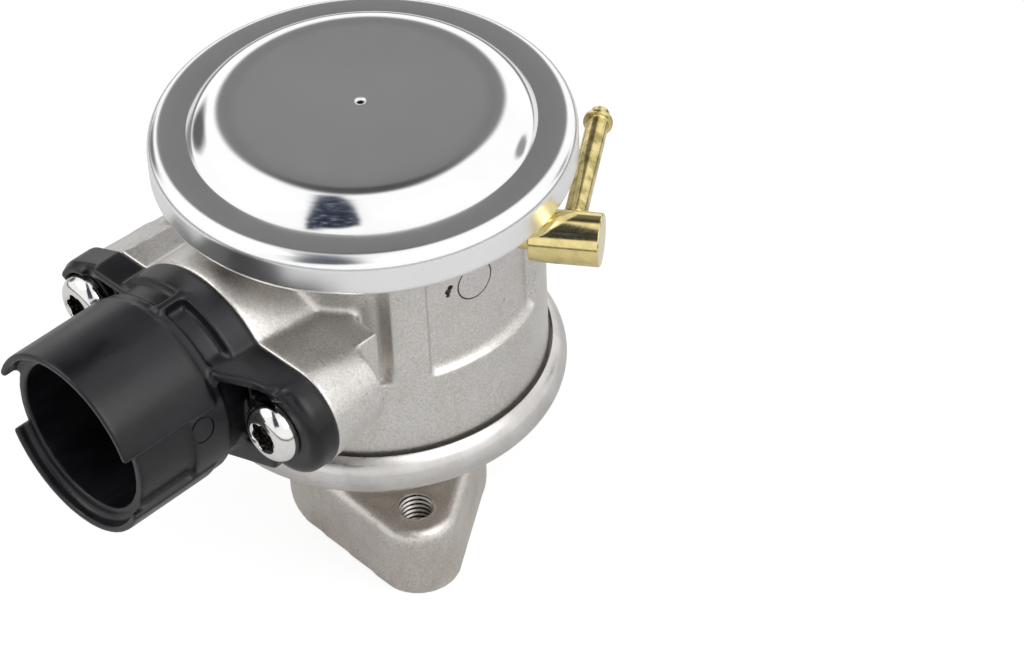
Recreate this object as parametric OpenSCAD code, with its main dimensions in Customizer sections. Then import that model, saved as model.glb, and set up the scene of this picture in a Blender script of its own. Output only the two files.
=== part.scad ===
// Secondary air valve: a vacuum diaphragm opens a poppet between the air inlet and the outlet flange.
// Origin: centre of the outlet on the flange's mounting face. +Z runs up the valve axis,
// the hose connector looks towards -Y. Millimetres.

/* [Casting] */
// Outer diameter of the valve body
body_d = 58; // [56:0.5:60]
// Thickness of the body wall round its chambers
body_wall = 4.5; // [4:0.1:5]
// Height of the joint between body and base above the mounting face
joint_h = 29.9; // [29:0.1:32]
// Height of the middle of the rolled rim above the elbow's axis
rim_h = 8.5; // [8:0.1:10]
// Height of the ledge under the recessed panel above the joint
ledge_h = 18.9; // [16.1:0.2:22.1]
// Depth of the recessed panel
panel_depth = 1.4; // [0.8:0.1:1.8]
// Half the angle that the recessed panel spans
panel_half_angle = 24.5; // [15:0.5:26]
// Depth of the bay behind the screw ears
bay_depth = 1.6; // [1:0.1:2]
// Thickness of the floor of the inlet chamber
floor_t = 4; // [3.6:0.1:4.5]
// Thickness of the wall between the inlet and the vacuum chamber
web_t = 3.5; // [3.2:0.1:4]

/* [Base] */
// Diameter of the base's column
base_d = 34.6; // [34:0.2:37]
// Diameter of the outlet port
outlet_d = 20; // [16:0.5:22]
// Depth of the outlet port below the valve chamber
outlet_depth = 12; // [8:0.5:12.5]
// Wall of the base's column round the valve chamber
base_wall = 2.5; // [2:0.1:2.8]
// Distance between the two tapped holes
bolt_spacing = 44; // [42:0.5:48]
// Tapping diameter of the flange holes
bolt_tap_d = 5; // [4.5:0.1:6]
// Radius of the flange lugs
lug_r = 7.3; // [6.5:0.1:9]
// Height of the flange lugs
lug_h = 14; // [10:0.5:15]
// Edge radius on top of the lugs
lug_edge_r = 2.4; // [1:0.1:3]
// Direction of the lugs about the valve axis
lug_angle = -29.8; // [-60:0.2:0]

/* [Clamp ring] */
// Outer diameter of the rolled clamp ring
ring_d = 64.1; // [63.6:0.1:65]
// Radius of the ring's rolled section
ring_tube_r = 4.4; // [4.2:0.1:4.6]
// Sheet thickness of the ring
ring_t = 1.2; // [0.8:0.1:1.4]

/* [Cover] */
// Outer diameter of the rolled rim
rim_d = 70; // [69:0.5:73]
// Sheet thickness of the cover
cover_t = 1.2; // [0.8:0.1:1.4]
// Height of the flat annulus above the middle of the rim
annulus_rise = 3.9; // [3.7:0.1:4.2]
// Shoulder radius of the rim
shoulder_r = 2.4; // [2:0.1:3]
// Radius of the curl under the rim
curl_r = 1.7; // [1.5:0.1:2]
// Diameter of the foot of the dome
dome_d = 56.9; // [54:0.5:59]
// Diameter of the flat top of the dome
dome_top_d = 42.8; // [38:0.5:46]
// Height of the dome above the annulus
dome_h = 4.1; // [4:0.1:5]
// Diameter of the vent hole
vent_d = 1.2; // [0.8:0.1:2]

/* [Valve] */
// Travel of the valve from closed to open
stroke = 4.5; // [3:0.1:4.6]
// Diameter of the stem in its guide
stem_d = 6; // [5.6:0.1:6.4]
// Diameter of the stem's threaded ends
stem_end_d = 5; // [4:0.1:5.2]
// Diameter of the port in the valve seat
port_d = 19; // [17:0.5:20]
// Outer diameter of the valve seat
seat_d = 28; // [26.5:0.5:28]
// Height that the seat's lip stands out of the floor
seat_lip_h = 1.4; // [1:0.1:1.8]
// Diameter of the valve disc
disc_d = 25; // [24:0.2:25.4]
// Thickness of the valve disc
disc_t = 2; // [1.6:0.1:2.4]
// Thickness of the disc's rubber seal
disc_seal_t = 1.5; // [1.2:0.1:1.8]

/* [Diaphragm] */
// Thickness of the diaphragm
diaphragm_t = 1.5; // [1:0.1:1.6]
// Diameter of the lower plate
lower_plate_d = 40; // [36:0.5:42]
// Diameter of the upper plate
upper_plate_d = 38; // [34:0.5:39]
// Thickness of both plates
plate_t = 1.2; // [0.8:0.1:1.4]
// Radius of the diaphragm's rolled fold
fold_r = 2.6; // [2.2:0.1:3]
// Wire diameter of the return spring
spring_wire_d = 1.3; // [1:0.1:1.4]
// Mean diameter of the return spring
spring_d = 18; // [17:0.5:20]
// Number of turns in the return spring
spring_turns = 3.25; // [2.5:0.25:3.5]

/* [Inlet] */
// Height of the inlet axis above the joint
inlet_h = 24.3; // [23.7:0.1:24.9]
// Distance from the valve axis to the connector's seam
seam_y = 36.5; // [36:0.1:38]
// Diameter of the arch over the duct and over the connector's hub
hub_d = 33.2; // [33:0.2:35]
// Diameter of the duct and the hub below the inlet axis
lower_hub_d = 31.6; // [31.4:0.1:32.4]
// Depth of the socket for the connector's spigot
socket_depth = 6.4; // [6:0.1:7]
// Diameter of the socket for the connector's spigot
socket_d = 29; // [28:0.2:29.4]
// Diameter of the duct inside the body
duct_d = 24; // [22:0.5:25]
// Distance between the two connector screws
screw_spacing = 44.8; // [43.6:0.2:46]
// Height of the screws above the inlet axis
screw_rise = 1.2; // [0:0.1:1.5]
// Radius of the right screw ear
ear_r = 9; // [8.6:0.1:9.4]
// Radius of the left screw ear
left_ear_r = 7.3; // [7:0.1:8]
// How much the casting's ears taper from the seam to their back
ear_draft = 1.2; // [0.5:0.1:1.6]
// Length of the casting's ears
ear_depth = 11; // [9:0.5:12]

/* [Hose connector] */
// Bore of the connector
bore_d = 26.2; // [24:0.2:26.4]
// Wall of the inner tube
tube_wall = 1.8; // [1.5:0.1:1.9]
// Distance from the valve axis to the mouth of the inner tube
mouth_y = 63.3; // [60:0.5:70]
// Distance that the skirts stand in front of the mouth
skirt_reach = 2.8; // [1:0.1:5]
// Outer radius of the upper skirt
upper_skirt_r = 16.5; // [16.2:0.1:17]
// Outer radius of the lower skirt
lower_skirt_r = 16.4; // [16.2:0.1:17]
// Wall of the skirts
skirt_wall = 1.2; // [0.9:0.1:1.3]
// Half the angle that the upper skirt spans
upper_skirt_half = 69; // [50:1:75]
// Half the angle that the lower skirt spans
lower_skirt_half = 67; // [50:1:75]
// Thickness of the ear plate under the screw heads
ear_plate_t = 5; // [4:0.1:5.5]
// Height of the rim round the screw heads
ear_rim_h = 1.2; // [0.8:0.1:2]
// Wall of the rim round the screw heads
ear_rim_wall = 2.2; // [1.6:0.1:2.6]
// Diameter of the band behind the skirts
band_d = 32.2; // [31.8:0.2:32.6]
// Length of the hub
hub_l = 4.5; // [4:0.1:4.9]
// Length of the groove between hub and band
groove_l = 4.6; // [4:0.1:5]
// Length of the band behind the skirts
band_l = 7.7; // [6:0.1:8]
// Thickness of the ribs and of the gusset
rib_t = 1.5; // [1.2:0.1:2]
// Diameter of the ejector mark
ejector_d = 4; // [3:0.5:5]

/* [Screws] */
// Thread diameter of the connector screws
screw_d = 6; // [5:0.5:6]
// Head diameter of the connector screws
screw_head_d = 10.5; // [9:0.1:11]
// Head height of the connector screws
screw_head_h = 3.3; // [2.8:0.1:3.5]
// Length of the connector screws under the head
screw_l = 16; // [14:1:18]
// Size of the six-lobed recess across its points
recess_d = 5.8; // [4.5:0.1:6]

/* [Vacuum connection] */
// Height of the elbow's axis above the inlet axis
elbow_h = 13.8; // [13.5:0.1:14.1]
// Direction of the elbow's neck about the valve axis
elbow_angle = 35; // [30:0.5:40]
// Distance between the neck's axis and the valve axis
elbow_offset = 9.9; // [8:0.1:11]
// Distance from the valve axis to the elbow's near end, along the neck
elbow_start = 29.1; // [29:0.1:31]
// Diameter of the elbow
elbow_d = 8.8; // [8.4:0.1:9]
// Length of the elbow
elbow_l = 11.4; // [10:0.1:13]
// Diameter of the elbow's neck
neck_d = 5.2; // [4.6:0.1:5.4]
// Outer diameter of the hose tail
tail_d = 3.9; // [3.5:0.1:4.5]
// Bore of the hose tail
tail_bore_d = 2.2; // [1.8:0.1:2.4]
// Diameter of the hose tail's barb
barb_d = 5; // [4.8:0.1:5.6]
// Distance from the elbow's axis to the end of the hose tail
tail_reach = 32.6; // [28:0.1:36]
// Distance from the elbow's near end to the hose tail
tail_at = 6.2; // [5:0.1:7]

/* [Hidden] */
$fn = 96;

// Overlap that makes cuts pass clean through a face
cut = 0.5;
// Clearance between pieces that are pressed or clamped together
seat_gap = 0.05;
// Radial running clearance of the stem
run_gap = 0.03;
// How far a flat runs inside the round that it blends into
blend = 0.03;
// Clearance between the closed seal and its seat
closed_gap = 0.1;
// Clearance round a screw head
head_gap = 0.3;

// Heights above the mounting face, each carried by the one below it
inlet_z = joint_h + inlet_h;
elbow_z = inlet_z + elbow_h;
rim_z = elbow_z + rim_h;
ledge_z = joint_h + ledge_h;

body_r = body_d / 2;
chamber_r = body_r - body_wall;
base_r = base_d / 2;
valve_chamber_r = base_r - base_wall;
ring_centre_r = ring_d / 2 - ring_tube_r;
ring_inner_r = ring_tube_r - ring_t;
flange_edge_r = ring_inner_r - seat_gap;
ring_end_r = body_r + 0.2;
ring_lap_a = -112;
base_slope = 2.4;
joint_groove_r = (ring_centre_r + valve_chamber_r) / 2 + 2;
joint_groove_w = 2;
joint_groove_depth = 1.5;
tap_chamfer = 0.8;
floor_top = joint_h + floor_t;

rim_r = rim_d / 2;
annulus_h = rim_z + annulus_rise;
cover_top = annulus_h + dome_h;
dome_r = dome_d / 2;
dome_top_r = dome_top_d / 2;
dome_run = dome_r - dome_top_r;
dome_arc_r = (dome_run * dome_run + dome_h * dome_h) / (2 * dome_h);
dome_arc_a = asin(dome_run / dome_arc_r);
rim_drop = 3.8;
curl_bottom = rim_z - rim_drop;
curl_lip_r = rim_r - 2 * curl_r;
bead_t = 1.8;
bead_r = rim_r - shoulder_r;
bead_top = annulus_h - cover_t;
body_top = bead_top - bead_t;
flange_r = rim_r - cover_t - 0.25;
flange_bottom = curl_bottom + cover_t + seat_gap;
flange_chamfer = 0.4;
flange_slope = 1.2;
wall_top = flange_bottom - flange_slope;

vac_floor = elbow_z - neck_d / 2 - 0.4;
inlet_top = vac_floor - web_t;
spring_seat_t = 1;
spring_seat_rim_h = 1.4;
spring_side_gap = 0.3;
spring_floor = vac_floor + spring_seat_t;
spring_spare = 0.4;
plate_floor = spring_floor + spring_turns * spring_wire_d + stroke + spring_spare;
diaphragm_h = plate_floor + plate_t;
upper_plate_h = diaphragm_h + diaphragm_t;
nut_h = upper_plate_h + plate_t;
nut_t = 2.7;
nut_flats = 8;
stem_end = 0.6;
stem_top = nut_h + nut_t + stem_end;
spring_r = spring_d / 2;
stem_seal_w = 3.5;
seal_pocket_d = stem_d + 2 * stem_seal_w;
seal_pocket_h = 2.5;
guide_wall = 1.5;
guide_d = stem_d + 2 * guide_wall;
boss_d = seal_pocket_d + 1;
boss_l = 8;
guide_bottom = inlet_top - boss_l;

lip_bottom = joint_h - seat_lip_h;
seal_top = lip_bottom - closed_gap;
disc_top = seal_top - disc_seal_t;
disc_bottom = disc_top - disc_t;
disc_hub_r = 6.9;
disc_hub_top = seal_top - 0.1;
washer_t = 0.5;
disc_nut_h = 3.4;
washer_bottom = disc_bottom - washer_t;
disc_nut_bottom = washer_bottom - disc_nut_h;
stem_bottom = disc_nut_bottom - stem_end;

hub_r = hub_d / 2;
screw_x = screw_spacing / 2;
socket_bottom = seam_y - socket_depth;
ear_back = seam_y - ear_depth;
ear_back_r = ear_r - ear_draft;
ear_top = screw_rise + ear_r;
lower_hub_r = lower_hub_d / 2;
left_top_x = screw_x - 2.6;
left_boss_r = left_ear_r - 1;
boss_taper = 0.8;
slab_x = screw_x + 2;
slab_back = chamber_r - 3.5;
duct_root = chamber_r - 6;
duct_mouth_l = 3;
tap_spare = 1.5;
fold_room_h = 5;
bead_seat_w = 3.4;
bay_r = body_r - bay_depth;
bay_y = body_r * 0.6;
spigot_gap = 0.1;
spigot_end_gap = 0.4;
spigot_r = socket_d / 2 - spigot_gap;
bore_r = bore_d / 2;
throat_r = bore_r - 1.2;
tube_r = bore_r + tube_wall;
seat_y = seam_y + ear_plate_t;
ear_front = seat_y + ear_rim_h;
head_r = screw_head_d / 2;
sleeve_gap = 0.05;
sleeve_wall = 1.1;
sleeve_in_r = screw_d / 2 + 0.15;
sleeve_hole_r = sleeve_in_r + sleeve_wall + sleeve_gap;
boss_wall = 1.3;
groove_y = seam_y + hub_l;
band_y = groove_y + groove_l;
skirt_y = band_y + band_l;
skirt_end = mouth_y + skirt_reach;
band_r = band_d / 2;
groove_r = tube_r - 0.2;
o_groove_depth = 1.3;
o_groove_w = 2.2;
o_groove_y = socket_bottom + 2;
tail_r = tail_d / 2;
barb_land = 0.8;
barb_cone = 2.3;
barb_y = tail_reach - barb_cone - barb_land;

// Points along an arc, angles in degrees
function arc(cx, cy, r, a0, a1, n = 8) =
    [for (i = [0 : n]) let (a = a0 + (a1 - a0) * i / n) [cx + r * cos(a), cy + r * sin(a)]];

// Puts a shape that is drawn along +Z onto the inlet axis, looking towards -Y
module on_inlet() {
    translate([0, 0, inlet_z]) rotate([90, 0, 0]) children();
}

// Puts a shape that is drawn along +X onto the elbow's neck
module on_elbow() {
    rotate([0, 0, elbow_angle]) translate([elbow_start, -elbow_offset, elbow_z]) children();
}

// One copy on each screw axis of the connector, drawn along the inlet
module at_screws() {
    for (side = [-1, 1]) translate([side * screw_x, screw_rise, 0]) children();
}

// A flat washer or ring
module ring(r_out, r_in, h) {
    difference() {
        cylinder(r = r_out, h = h);
        translate([0, 0, -cut]) cylinder(r = r_in, h = h + 2 * cut);
    }
}

// A hexagon nut with its bore
module hex_nut(flats, bore, h) {
    difference() {
        cylinder(d = flats / cos(30), h = h, $fn = 6);
        translate([0, 0, -cut]) cylinder(d = bore, h = h + 2 * cut);
    }
}

// A sector of the plane from angle a0 to a1, large enough for radius r
module sector(a0, a1, r) {
    steps = 6;
    polygon(concat([[0, 0]], arc(0, 0, r * 1.3, a0, a1, steps)));
}

// The duct's round outline, with the higher arch on its upper half
module hub_outline(r_arch) {
    circle(d = lower_hub_d);
    intersection() {
        circle(r = r_arch);
        translate([-r_arch, 0]) square([2 * r_arch, r_arch]);
    }
}

// One ear with its neck: tangent to the hub below, level on top as far as top_x, then tangent to the ear
module ear_outline(r, top_x) {
    c = [screw_x, screw_rise];
    corner = [top_x - screw_x, ear_top - screw_rise];
    low_a = atan2(screw_rise, screw_x) - acos((lower_hub_r - r) / norm(c));
    high_a = atan2(corner[1], corner[0]) - acos(min(1, r / norm(corner)));
    level = ear_top - blend;
    low = [cos(low_a), sin(low_a)];
    high = [cos(high_a), sin(high_a)];
    translate(c) circle(r = r);
    polygon([
        [0, 0], (lower_hub_r - blend) * low, c + (r - blend) * low, c,
        c + (r - blend) * high, [top_x, level], [0, level]
    ]);
}

// The outline of the connector's flange: hub, full right ear and smaller left ear
module flange_outline() {
    hub_outline(hub_r);
    ear_outline(ear_r, screw_x);
    mirror([1, 0]) ear_outline(left_ear_r, left_top_x);
}

// The turned outside of the body, with the flange for the diaphragm on top
module body_outside() {
    lip_a = acos((ring_end_r - ring_centre_r) / flange_edge_r);
    rotate_extrude() polygon(concat(
        [[0, joint_h]],
        arc(ring_centre_r, joint_h, flange_edge_r, 0, lip_a, 6),
        [[body_r, joint_h + flange_edge_r * sin(lip_a)], [body_r, wall_top], [curl_lip_r - 0.3, flange_bottom],
         [flange_r - flange_chamfer, flange_bottom], [flange_r, flange_bottom + flange_chamfer],
         [flange_r, body_top], [0, body_top]]
    ));
}

// The recessed panel that faces +X, cut from the ledge up to the flange
module panel_cut() {
    panel_r = body_r - panel_depth;
    translate([0, 0, ledge_z]) difference() {
        linear_extrude(wall_top - ledge_z) sector(-panel_half_angle, panel_half_angle, body_r);
        translate([0, 0, -cut]) cylinder(r1 = body_r - 0.2, r2 = panel_r, h = 2 * cut + 0.6);
        cylinder(r = panel_r, h = body_top);
    }
}

// The bay behind the screw ears, where the wall is set back
module bay_cut() {
    depth = body_r - bay_y + cut;
    translate([0, 0, ledge_z]) difference() {
        translate([-body_r, -body_r - cut, 0]) cube([2 * body_r, depth, wall_top - ledge_z]);
        translate([0, 0, -cut]) cylinder(r = bay_r, h = body_top);
    }
}

// The duct and the two ears that carry the hose connector
module inlet_block() {
    on_inlet() {
        translate([0, 0, duct_root]) linear_extrude(seam_y - duct_root) hub_outline(hub_r);
        translate([screw_x, screw_rise, ear_back]) cylinder(r1 = ear_back_r, r2 = ear_r, h = ear_depth);
        translate([-screw_x, screw_rise, slab_back]) {
            cylinder(r1 = left_boss_r - boss_taper, r2 = left_boss_r, h = seam_y - slab_back);
        }
        translate([-left_top_x, screw_rise, 0]) rotate([90, 0, 90]) {
            linear_extrude(left_top_x + screw_x) polygon([
                [-ear_r + blend, seam_y], [-ear_back_r + blend, ear_back],
                [ear_back_r - blend, ear_back], [ear_r - blend, seam_y]
            ]);
        }
        translate([-screw_x, screw_rise, ear_back]) linear_extrude(ear_depth) polygon([
            [-left_boss_r * 0.7, left_boss_r * 0.66], [0, -left_boss_r + 0.2], [screw_x, -ear_back_r],
            [screw_x, ear_back_r], [screw_x - left_top_x, ear_back_r]
        ]);
        translate([-left_top_x, screw_rise - ear_back_r, slab_back]) {
            cube([left_top_x + slab_x, 2 * ear_back_r, ear_back + 1 - slab_back]);
        }
        translate([-bay_y, screw_rise - ear_back_r, bay_y]) {
            cube([2 * bay_y, 2 * ear_back_r, slab_back + 1 - bay_y]);
        }
    }
}

module valve_body() {
    color([0.74, 0.73, 0.71]) difference() {
        union() {
            difference() {
                body_outside();
                panel_cut();
                bay_cut();
            }
            inlet_block();
        }
        // Inlet chamber, and the duct that feeds it
        difference() {
            union() {
                translate([0, 0, floor_top]) cylinder(r = chamber_r, h = inlet_top - floor_top);
                intersection() {
                    on_inlet() translate([0, 0, duct_d / 2]) cylinder(d = duct_d, h = seam_y);
                    cylinder(r = 2 * seam_y, h = inlet_top);
                }
            }
            translate([0, 0, guide_bottom]) cylinder(d = boss_d, h = boss_l + cut);
        }
        on_inlet() translate([0, 0, socket_bottom - duct_mouth_l]) cylinder(d = duct_d, h = seam_y);
        on_inlet() translate([0, 0, socket_bottom]) cylinder(d = socket_d, h = seam_y);
        // Vacuum chamber, opening out under the diaphragm's fold
        translate([0, 0, vac_floor]) cylinder(r = chamber_r, h = body_top);
        translate([0, 0, body_top - fold_room_h]) {
            cylinder(r1 = chamber_r - blend, r2 = flange_r - bead_seat_w, h = fold_room_h + blend);
        }
        // Bores for the guide, its seal, the port and the valve seat
        translate([0, 0, guide_bottom - cut]) cylinder(d = guide_d, h = vac_floor - guide_bottom + 2 * cut);
        translate([0, 0, vac_floor - seal_pocket_h]) cylinder(d = seal_pocket_d, h = seal_pocket_h + cut);
        translate([0, 0, joint_h - cut]) cylinder(d = port_d + 2, h = floor_t + 2 * cut);
        translate([0, 0, joint_h - cut]) cylinder(d = seat_d, h = cut + floor_t / 2);
        // Tapped holes for the connector screws
        on_inlet() at_screws() {
            translate([0, 0, seat_y - screw_l - tap_spare]) cylinder(d = screw_d, h = screw_l);
        }
        // Bore for the elbow's neck
        on_elbow() translate([-body_r, 0, 0]) rotate([0, 90, 0]) cylinder(d = neck_d, h = 2 * body_r);
    }
}

// A puck with a rounded top edge, used as an end of a lug
module lug_puck(r) {
    rotate_extrude($fn = 32) polygon(concat(
        [[0, 0], [r, 0]],
        arc(r - lug_edge_r, lug_h - lug_edge_r, lug_edge_r, 0, 90, 4),
        [[0, lug_h]]
    ));
}

module base_flange() {
    lap_a = ring_lap_a - 4;
    under = joint_h + flange_edge_r * sin(lap_a);
    color([0.70, 0.69, 0.67]) difference() {
        union() {
            cylinder(r = base_r, h = joint_h);
            rotate([0, 0, lug_angle]) for (side = [0, 180]) rotate([0, 0, side]) hull() {
                lug_puck(base_r - blend);
                translate([bolt_spacing / 2, 0, 0]) lug_puck(lug_r);
            }
            rotate_extrude() polygon(concat(
                [[0, joint_h], [0, under - base_slope], [base_r, under - base_slope], [base_r + base_slope, under]],
                arc(ring_centre_r, joint_h, flange_edge_r, lap_a, 0, 8)
            ));
        }
        translate([0, 0, -cut]) cylinder(d = outlet_d, h = joint_h);
        translate([0, 0, outlet_depth]) cylinder(r = valve_chamber_r, h = joint_h);
        rotate([0, 0, lug_angle]) for (side = [-1, 1]) translate([side * bolt_spacing / 2, 0, 0]) {
            translate([0, 0, -cut]) cylinder(d = bolt_tap_d, h = lug_h + 2 * cut);
            translate([0, 0, lug_h - tap_chamfer]) {
                cylinder(d1 = bolt_tap_d, d2 = bolt_tap_d + 2 * (tap_chamfer + cut), h = tap_chamfer + cut);
            }
        }
        translate([0, 0, joint_h - joint_groove_depth]) {
            ring(joint_groove_r + joint_groove_w / 2, joint_groove_r - joint_groove_w / 2, joint_groove_depth + cut);
        }
    }
}

module joint_seal() {
    half = joint_groove_w / 2 - seat_gap;
    color([0.13, 0.13, 0.14]) translate([0, 0, joint_h - joint_groove_depth + seat_gap]) {
        ring(joint_groove_r + half, joint_groove_r - half, joint_groove_depth - 2 * seat_gap);
    }
}

module lower_clamp_ring() {
    outer_a = acos((ring_end_r - ring_centre_r) / ring_tube_r);
    inner_a = acos((ring_end_r - ring_centre_r) / ring_inner_r);
    color([0.66, 0.66, 0.65]) rotate_extrude() polygon(concat(
        arc(ring_centre_r, joint_h, ring_tube_r, ring_lap_a, outer_a, 14),
        arc(ring_centre_r, joint_h, ring_inner_r, inner_a, ring_lap_a, 14)
    ));
}

module valve_seat() {
    port_r = port_d / 2;
    outer_r = seat_d / 2 - seat_gap;
    top = joint_h + floor_t / 2 - seat_gap;
    color([0.62, 0.62, 0.64]) rotate_extrude() polygon([
        [port_r, lip_bottom], [port_r + 1.1, lip_bottom], [port_r + 1.9, joint_h],
        [outer_r, joint_h], [outer_r, top], [port_r, top]
    ]);
}

module diaphragm_cover() {
    inner_foot_a = 90 - dome_arc_a;
    color([0.80, 0.80, 0.79]) rotate_extrude() polygon(concat(
        [[vent_d / 2, cover_top]],
        arc(dome_top_r, cover_top - dome_arc_r, dome_arc_r, 90, inner_foot_a, 8),
        arc(rim_r - shoulder_r, annulus_h - shoulder_r, shoulder_r, 90, 0, 6),
        arc(rim_r - curl_r, curl_bottom + curl_r, curl_r, 0, -90, 6),
        [[curl_lip_r, curl_bottom], [curl_lip_r, curl_bottom + cover_t]],
        arc(rim_r - curl_r, curl_bottom + curl_r, curl_r - cover_t, -90, 0, 4),
        arc(rim_r - shoulder_r, annulus_h - shoulder_r, shoulder_r - cover_t, 0, 90, 4),
        [[dome_r, annulus_h - cover_t]],
        arc(dome_top_r, cover_top - dome_arc_r, dome_arc_r - cover_t, inner_foot_a, 90, 8),
        [[vent_d / 2, cover_top - cover_t]]
    ));
}

// The diaphragm: clamped bead, rolled fold and flat centre between the plates
module diaphragm() {
    fold_c = lower_plate_d / 2 + 1.6 + fold_r;
    fold_z = diaphragm_h + 0.2;
    edge_r = fold_c + fold_r;
    bead_floor = body_top + 2 * seat_gap;
    bead_roof = bead_top - seat_gap;
    hole_r = stem_end_d / 2 + seat_gap;
    color([0.12, 0.12, 0.13]) rotate_extrude() polygon(concat(
        [[hole_r, diaphragm_h], [fold_c - fold_r, diaphragm_h]],
        arc(fold_c, fold_z, fold_r - diaphragm_t / 2, 180, 0, 8),
        [[edge_r, bead_floor], [bead_r, bead_floor], [bead_r, bead_roof], [edge_r + 0.6, bead_roof]],
        arc(fold_c, fold_z, fold_r, 25, 155, 8),
        [[fold_c - fold_r - 0.8, upper_plate_h], [hole_r, upper_plate_h]]
    ));
}

module upper_diaphragm_plate() {
    r = upper_plate_d / 2;
    color([0.60, 0.61, 0.62]) translate([0, 0, upper_plate_h + seat_gap]) {
        ring(r, stem_end_d / 2 + seat_gap, plate_t - seat_gap);
    }
}

// The lower plate, with a turned-down collar that centres the spring
module lower_diaphragm_plate() {
    r = lower_plate_d / 2;
    collar_r = spring_r - spring_wire_d / 2 - spring_side_gap;
    collar_end = plate_floor - plate_t;
    hole_r = stem_end_d / 2 + seat_gap;
    color([0.60, 0.61, 0.62]) rotate_extrude() polygon([
        [hole_r, plate_floor], [collar_r - plate_t, plate_floor], [collar_r - plate_t, collar_end],
        [collar_r, collar_end], [collar_r, plate_floor], [r, plate_floor],
        [r, diaphragm_h - seat_gap], [hole_r, diaphragm_h - seat_gap]
    ]);
}

// The stem: threaded ends, a running length and a collar under the plates
module stem() {
    r = stem_d / 2;
    end_r = stem_end_d / 2;
    collar_bottom = plate_floor - 1.5;
    top_of_collar = plate_floor - seat_gap;
    foot = disc_hub_top + seat_gap;
    color([0.72, 0.72, 0.74]) rotate_extrude() polygon([
        [0, stem_bottom], [end_r - 0.5, stem_bottom], [end_r, stem_bottom + 0.5], [end_r, foot], [r, foot],
        [r, collar_bottom], [r + 1.8, collar_bottom], [r + 1.8, top_of_collar], [end_r, top_of_collar],
        [end_r, stem_top - 0.5], [end_r - 0.5, stem_top], [0, stem_top]
    ]);
}

module stem_nut() {
    color([0.78, 0.76, 0.68]) translate([0, 0, nut_h + seat_gap]) {
        hex_nut(nut_flats, stem_end_d + 2 * seat_gap, nut_t - seat_gap);
    }
}

module stem_guide() {
    top = vac_floor - seal_pocket_h - seat_gap;
    color([0.70, 0.52, 0.28]) translate([0, 0, guide_bottom + 0.3]) {
        ring(guide_d / 2 - seat_gap, stem_d / 2 + run_gap, top - guide_bottom - 0.3);
    }
}

// The lip seal that keeps the vacuum chamber tight round the stem
module stem_seal() {
    r = seal_pocket_d / 2 - seat_gap;
    bottom = vac_floor - seal_pocket_h + seat_gap;
    top = vac_floor - seat_gap;
    hole = stem_d / 2 + run_gap;
    color([0.15, 0.15, 0.16]) rotate_extrude() polygon([
        [hole + 0.8, bottom], [r, bottom], [r, top], [r - 1.6, top], [hole + 1, bottom + 1],
        [hole + 0.7, top], [hole, top - 0.5]
    ]);
}

// The return spring: wire of eight sides swept round a helix
module return_spring() {
    low = spring_floor + spring_wire_d / 2 + seat_gap;
    high = plate_floor - spring_wire_d / 2 - seat_gap;
    steps = round(spring_turns * 20);
    sides = 8;
    wire_r = spring_wire_d / 2;
    points = [for (i = [0 : steps]) for (k = [0 : sides - 1])
        let (turn = 360 * spring_turns * i / steps, a = 360 * k / sides)
        [(spring_r + wire_r * cos(a)) * cos(turn), (spring_r + wire_r * cos(a)) * sin(turn),
         low + (high - low) * i / steps + wire_r * sin(a)]];
    walls = [for (i = [0 : steps - 1]) for (k = [0 : sides - 1])
        let (next = (k + 1) % sides)
        [i * sides + k, (i + 1) * sides + k, (i + 1) * sides + next, i * sides + next]];
    first = [[for (k = [0 : sides - 1]) k]];
    last = [[for (k = [sides - 1 : -1 : 0]) steps * sides + k]];
    color([0.55, 0.55, 0.57]) polyhedron(points = points, faces = concat(walls, first, last), convexity = 8);
}

// The cup washer that holds the stem seal in and centres the spring
module spring_seat() {
    rim = spring_r + spring_wire_d / 2 + spring_side_gap;
    rim_top = spring_floor + spring_seat_rim_h;
    hole = stem_d / 2 + 1;
    color([0.62, 0.62, 0.60]) rotate_extrude() polygon([
        [hole, vac_floor], [rim + spring_seat_t, vac_floor], [rim + spring_seat_t, rim_top],
        [rim, rim_top], [rim, spring_floor], [hole, spring_floor]
    ]);
}

// The poppet, with a raised hub inside its rubber seal
module valve_disc() {
    r = disc_d / 2;
    hole = stem_end_d / 2 + seat_gap;
    color([0.68, 0.68, 0.70]) rotate_extrude() polygon([
        [hole, disc_bottom], [r - 2.5, disc_bottom], [r, disc_bottom + 1], [r, disc_top],
        [disc_hub_r, disc_top], [disc_hub_r, disc_hub_top - 0.5], [disc_hub_r - 0.5, disc_hub_top],
        [hole, disc_hub_top]
    ]);
}

module disc_seal() {
    color([0.14, 0.13, 0.13]) translate([0, 0, disc_top + seat_gap]) {
        ring(disc_d / 2 - 0.3, disc_hub_r + seat_gap, disc_seal_t - seat_gap);
    }
}

module disc_washer() {
    color([0.66, 0.66, 0.66]) translate([0, 0, washer_bottom + seat_gap / 2]) {
        ring(stem_end_d, stem_end_d / 2 + seat_gap, washer_t - seat_gap);
    }
}

module disc_nut() {
    color([0.78, 0.76, 0.68]) translate([0, 0, disc_nut_bottom]) {
        hex_nut(nut_flats, stem_end_d + 2 * seat_gap, disc_nut_h - seat_gap);
    }
}

// The rim that wraps round a screw head and opens towards the tube
module ear_rim(side, r, r_in) {
    mirror([side < 0 ? 1 : 0, 0, 0]) translate([screw_x, screw_rise, seat_y - 1]) difference() {
        cylinder(r1 = r, r2 = r - 0.6, h = ear_rim_h + 1);
        cylinder(r = r_in, h = 2 * ear_rim_h + 1);
        translate([-2 * r, -r, -cut]) cube([2 * r, 2 * r, 2 * ear_rim_h + 2]);
    }
}

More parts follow.
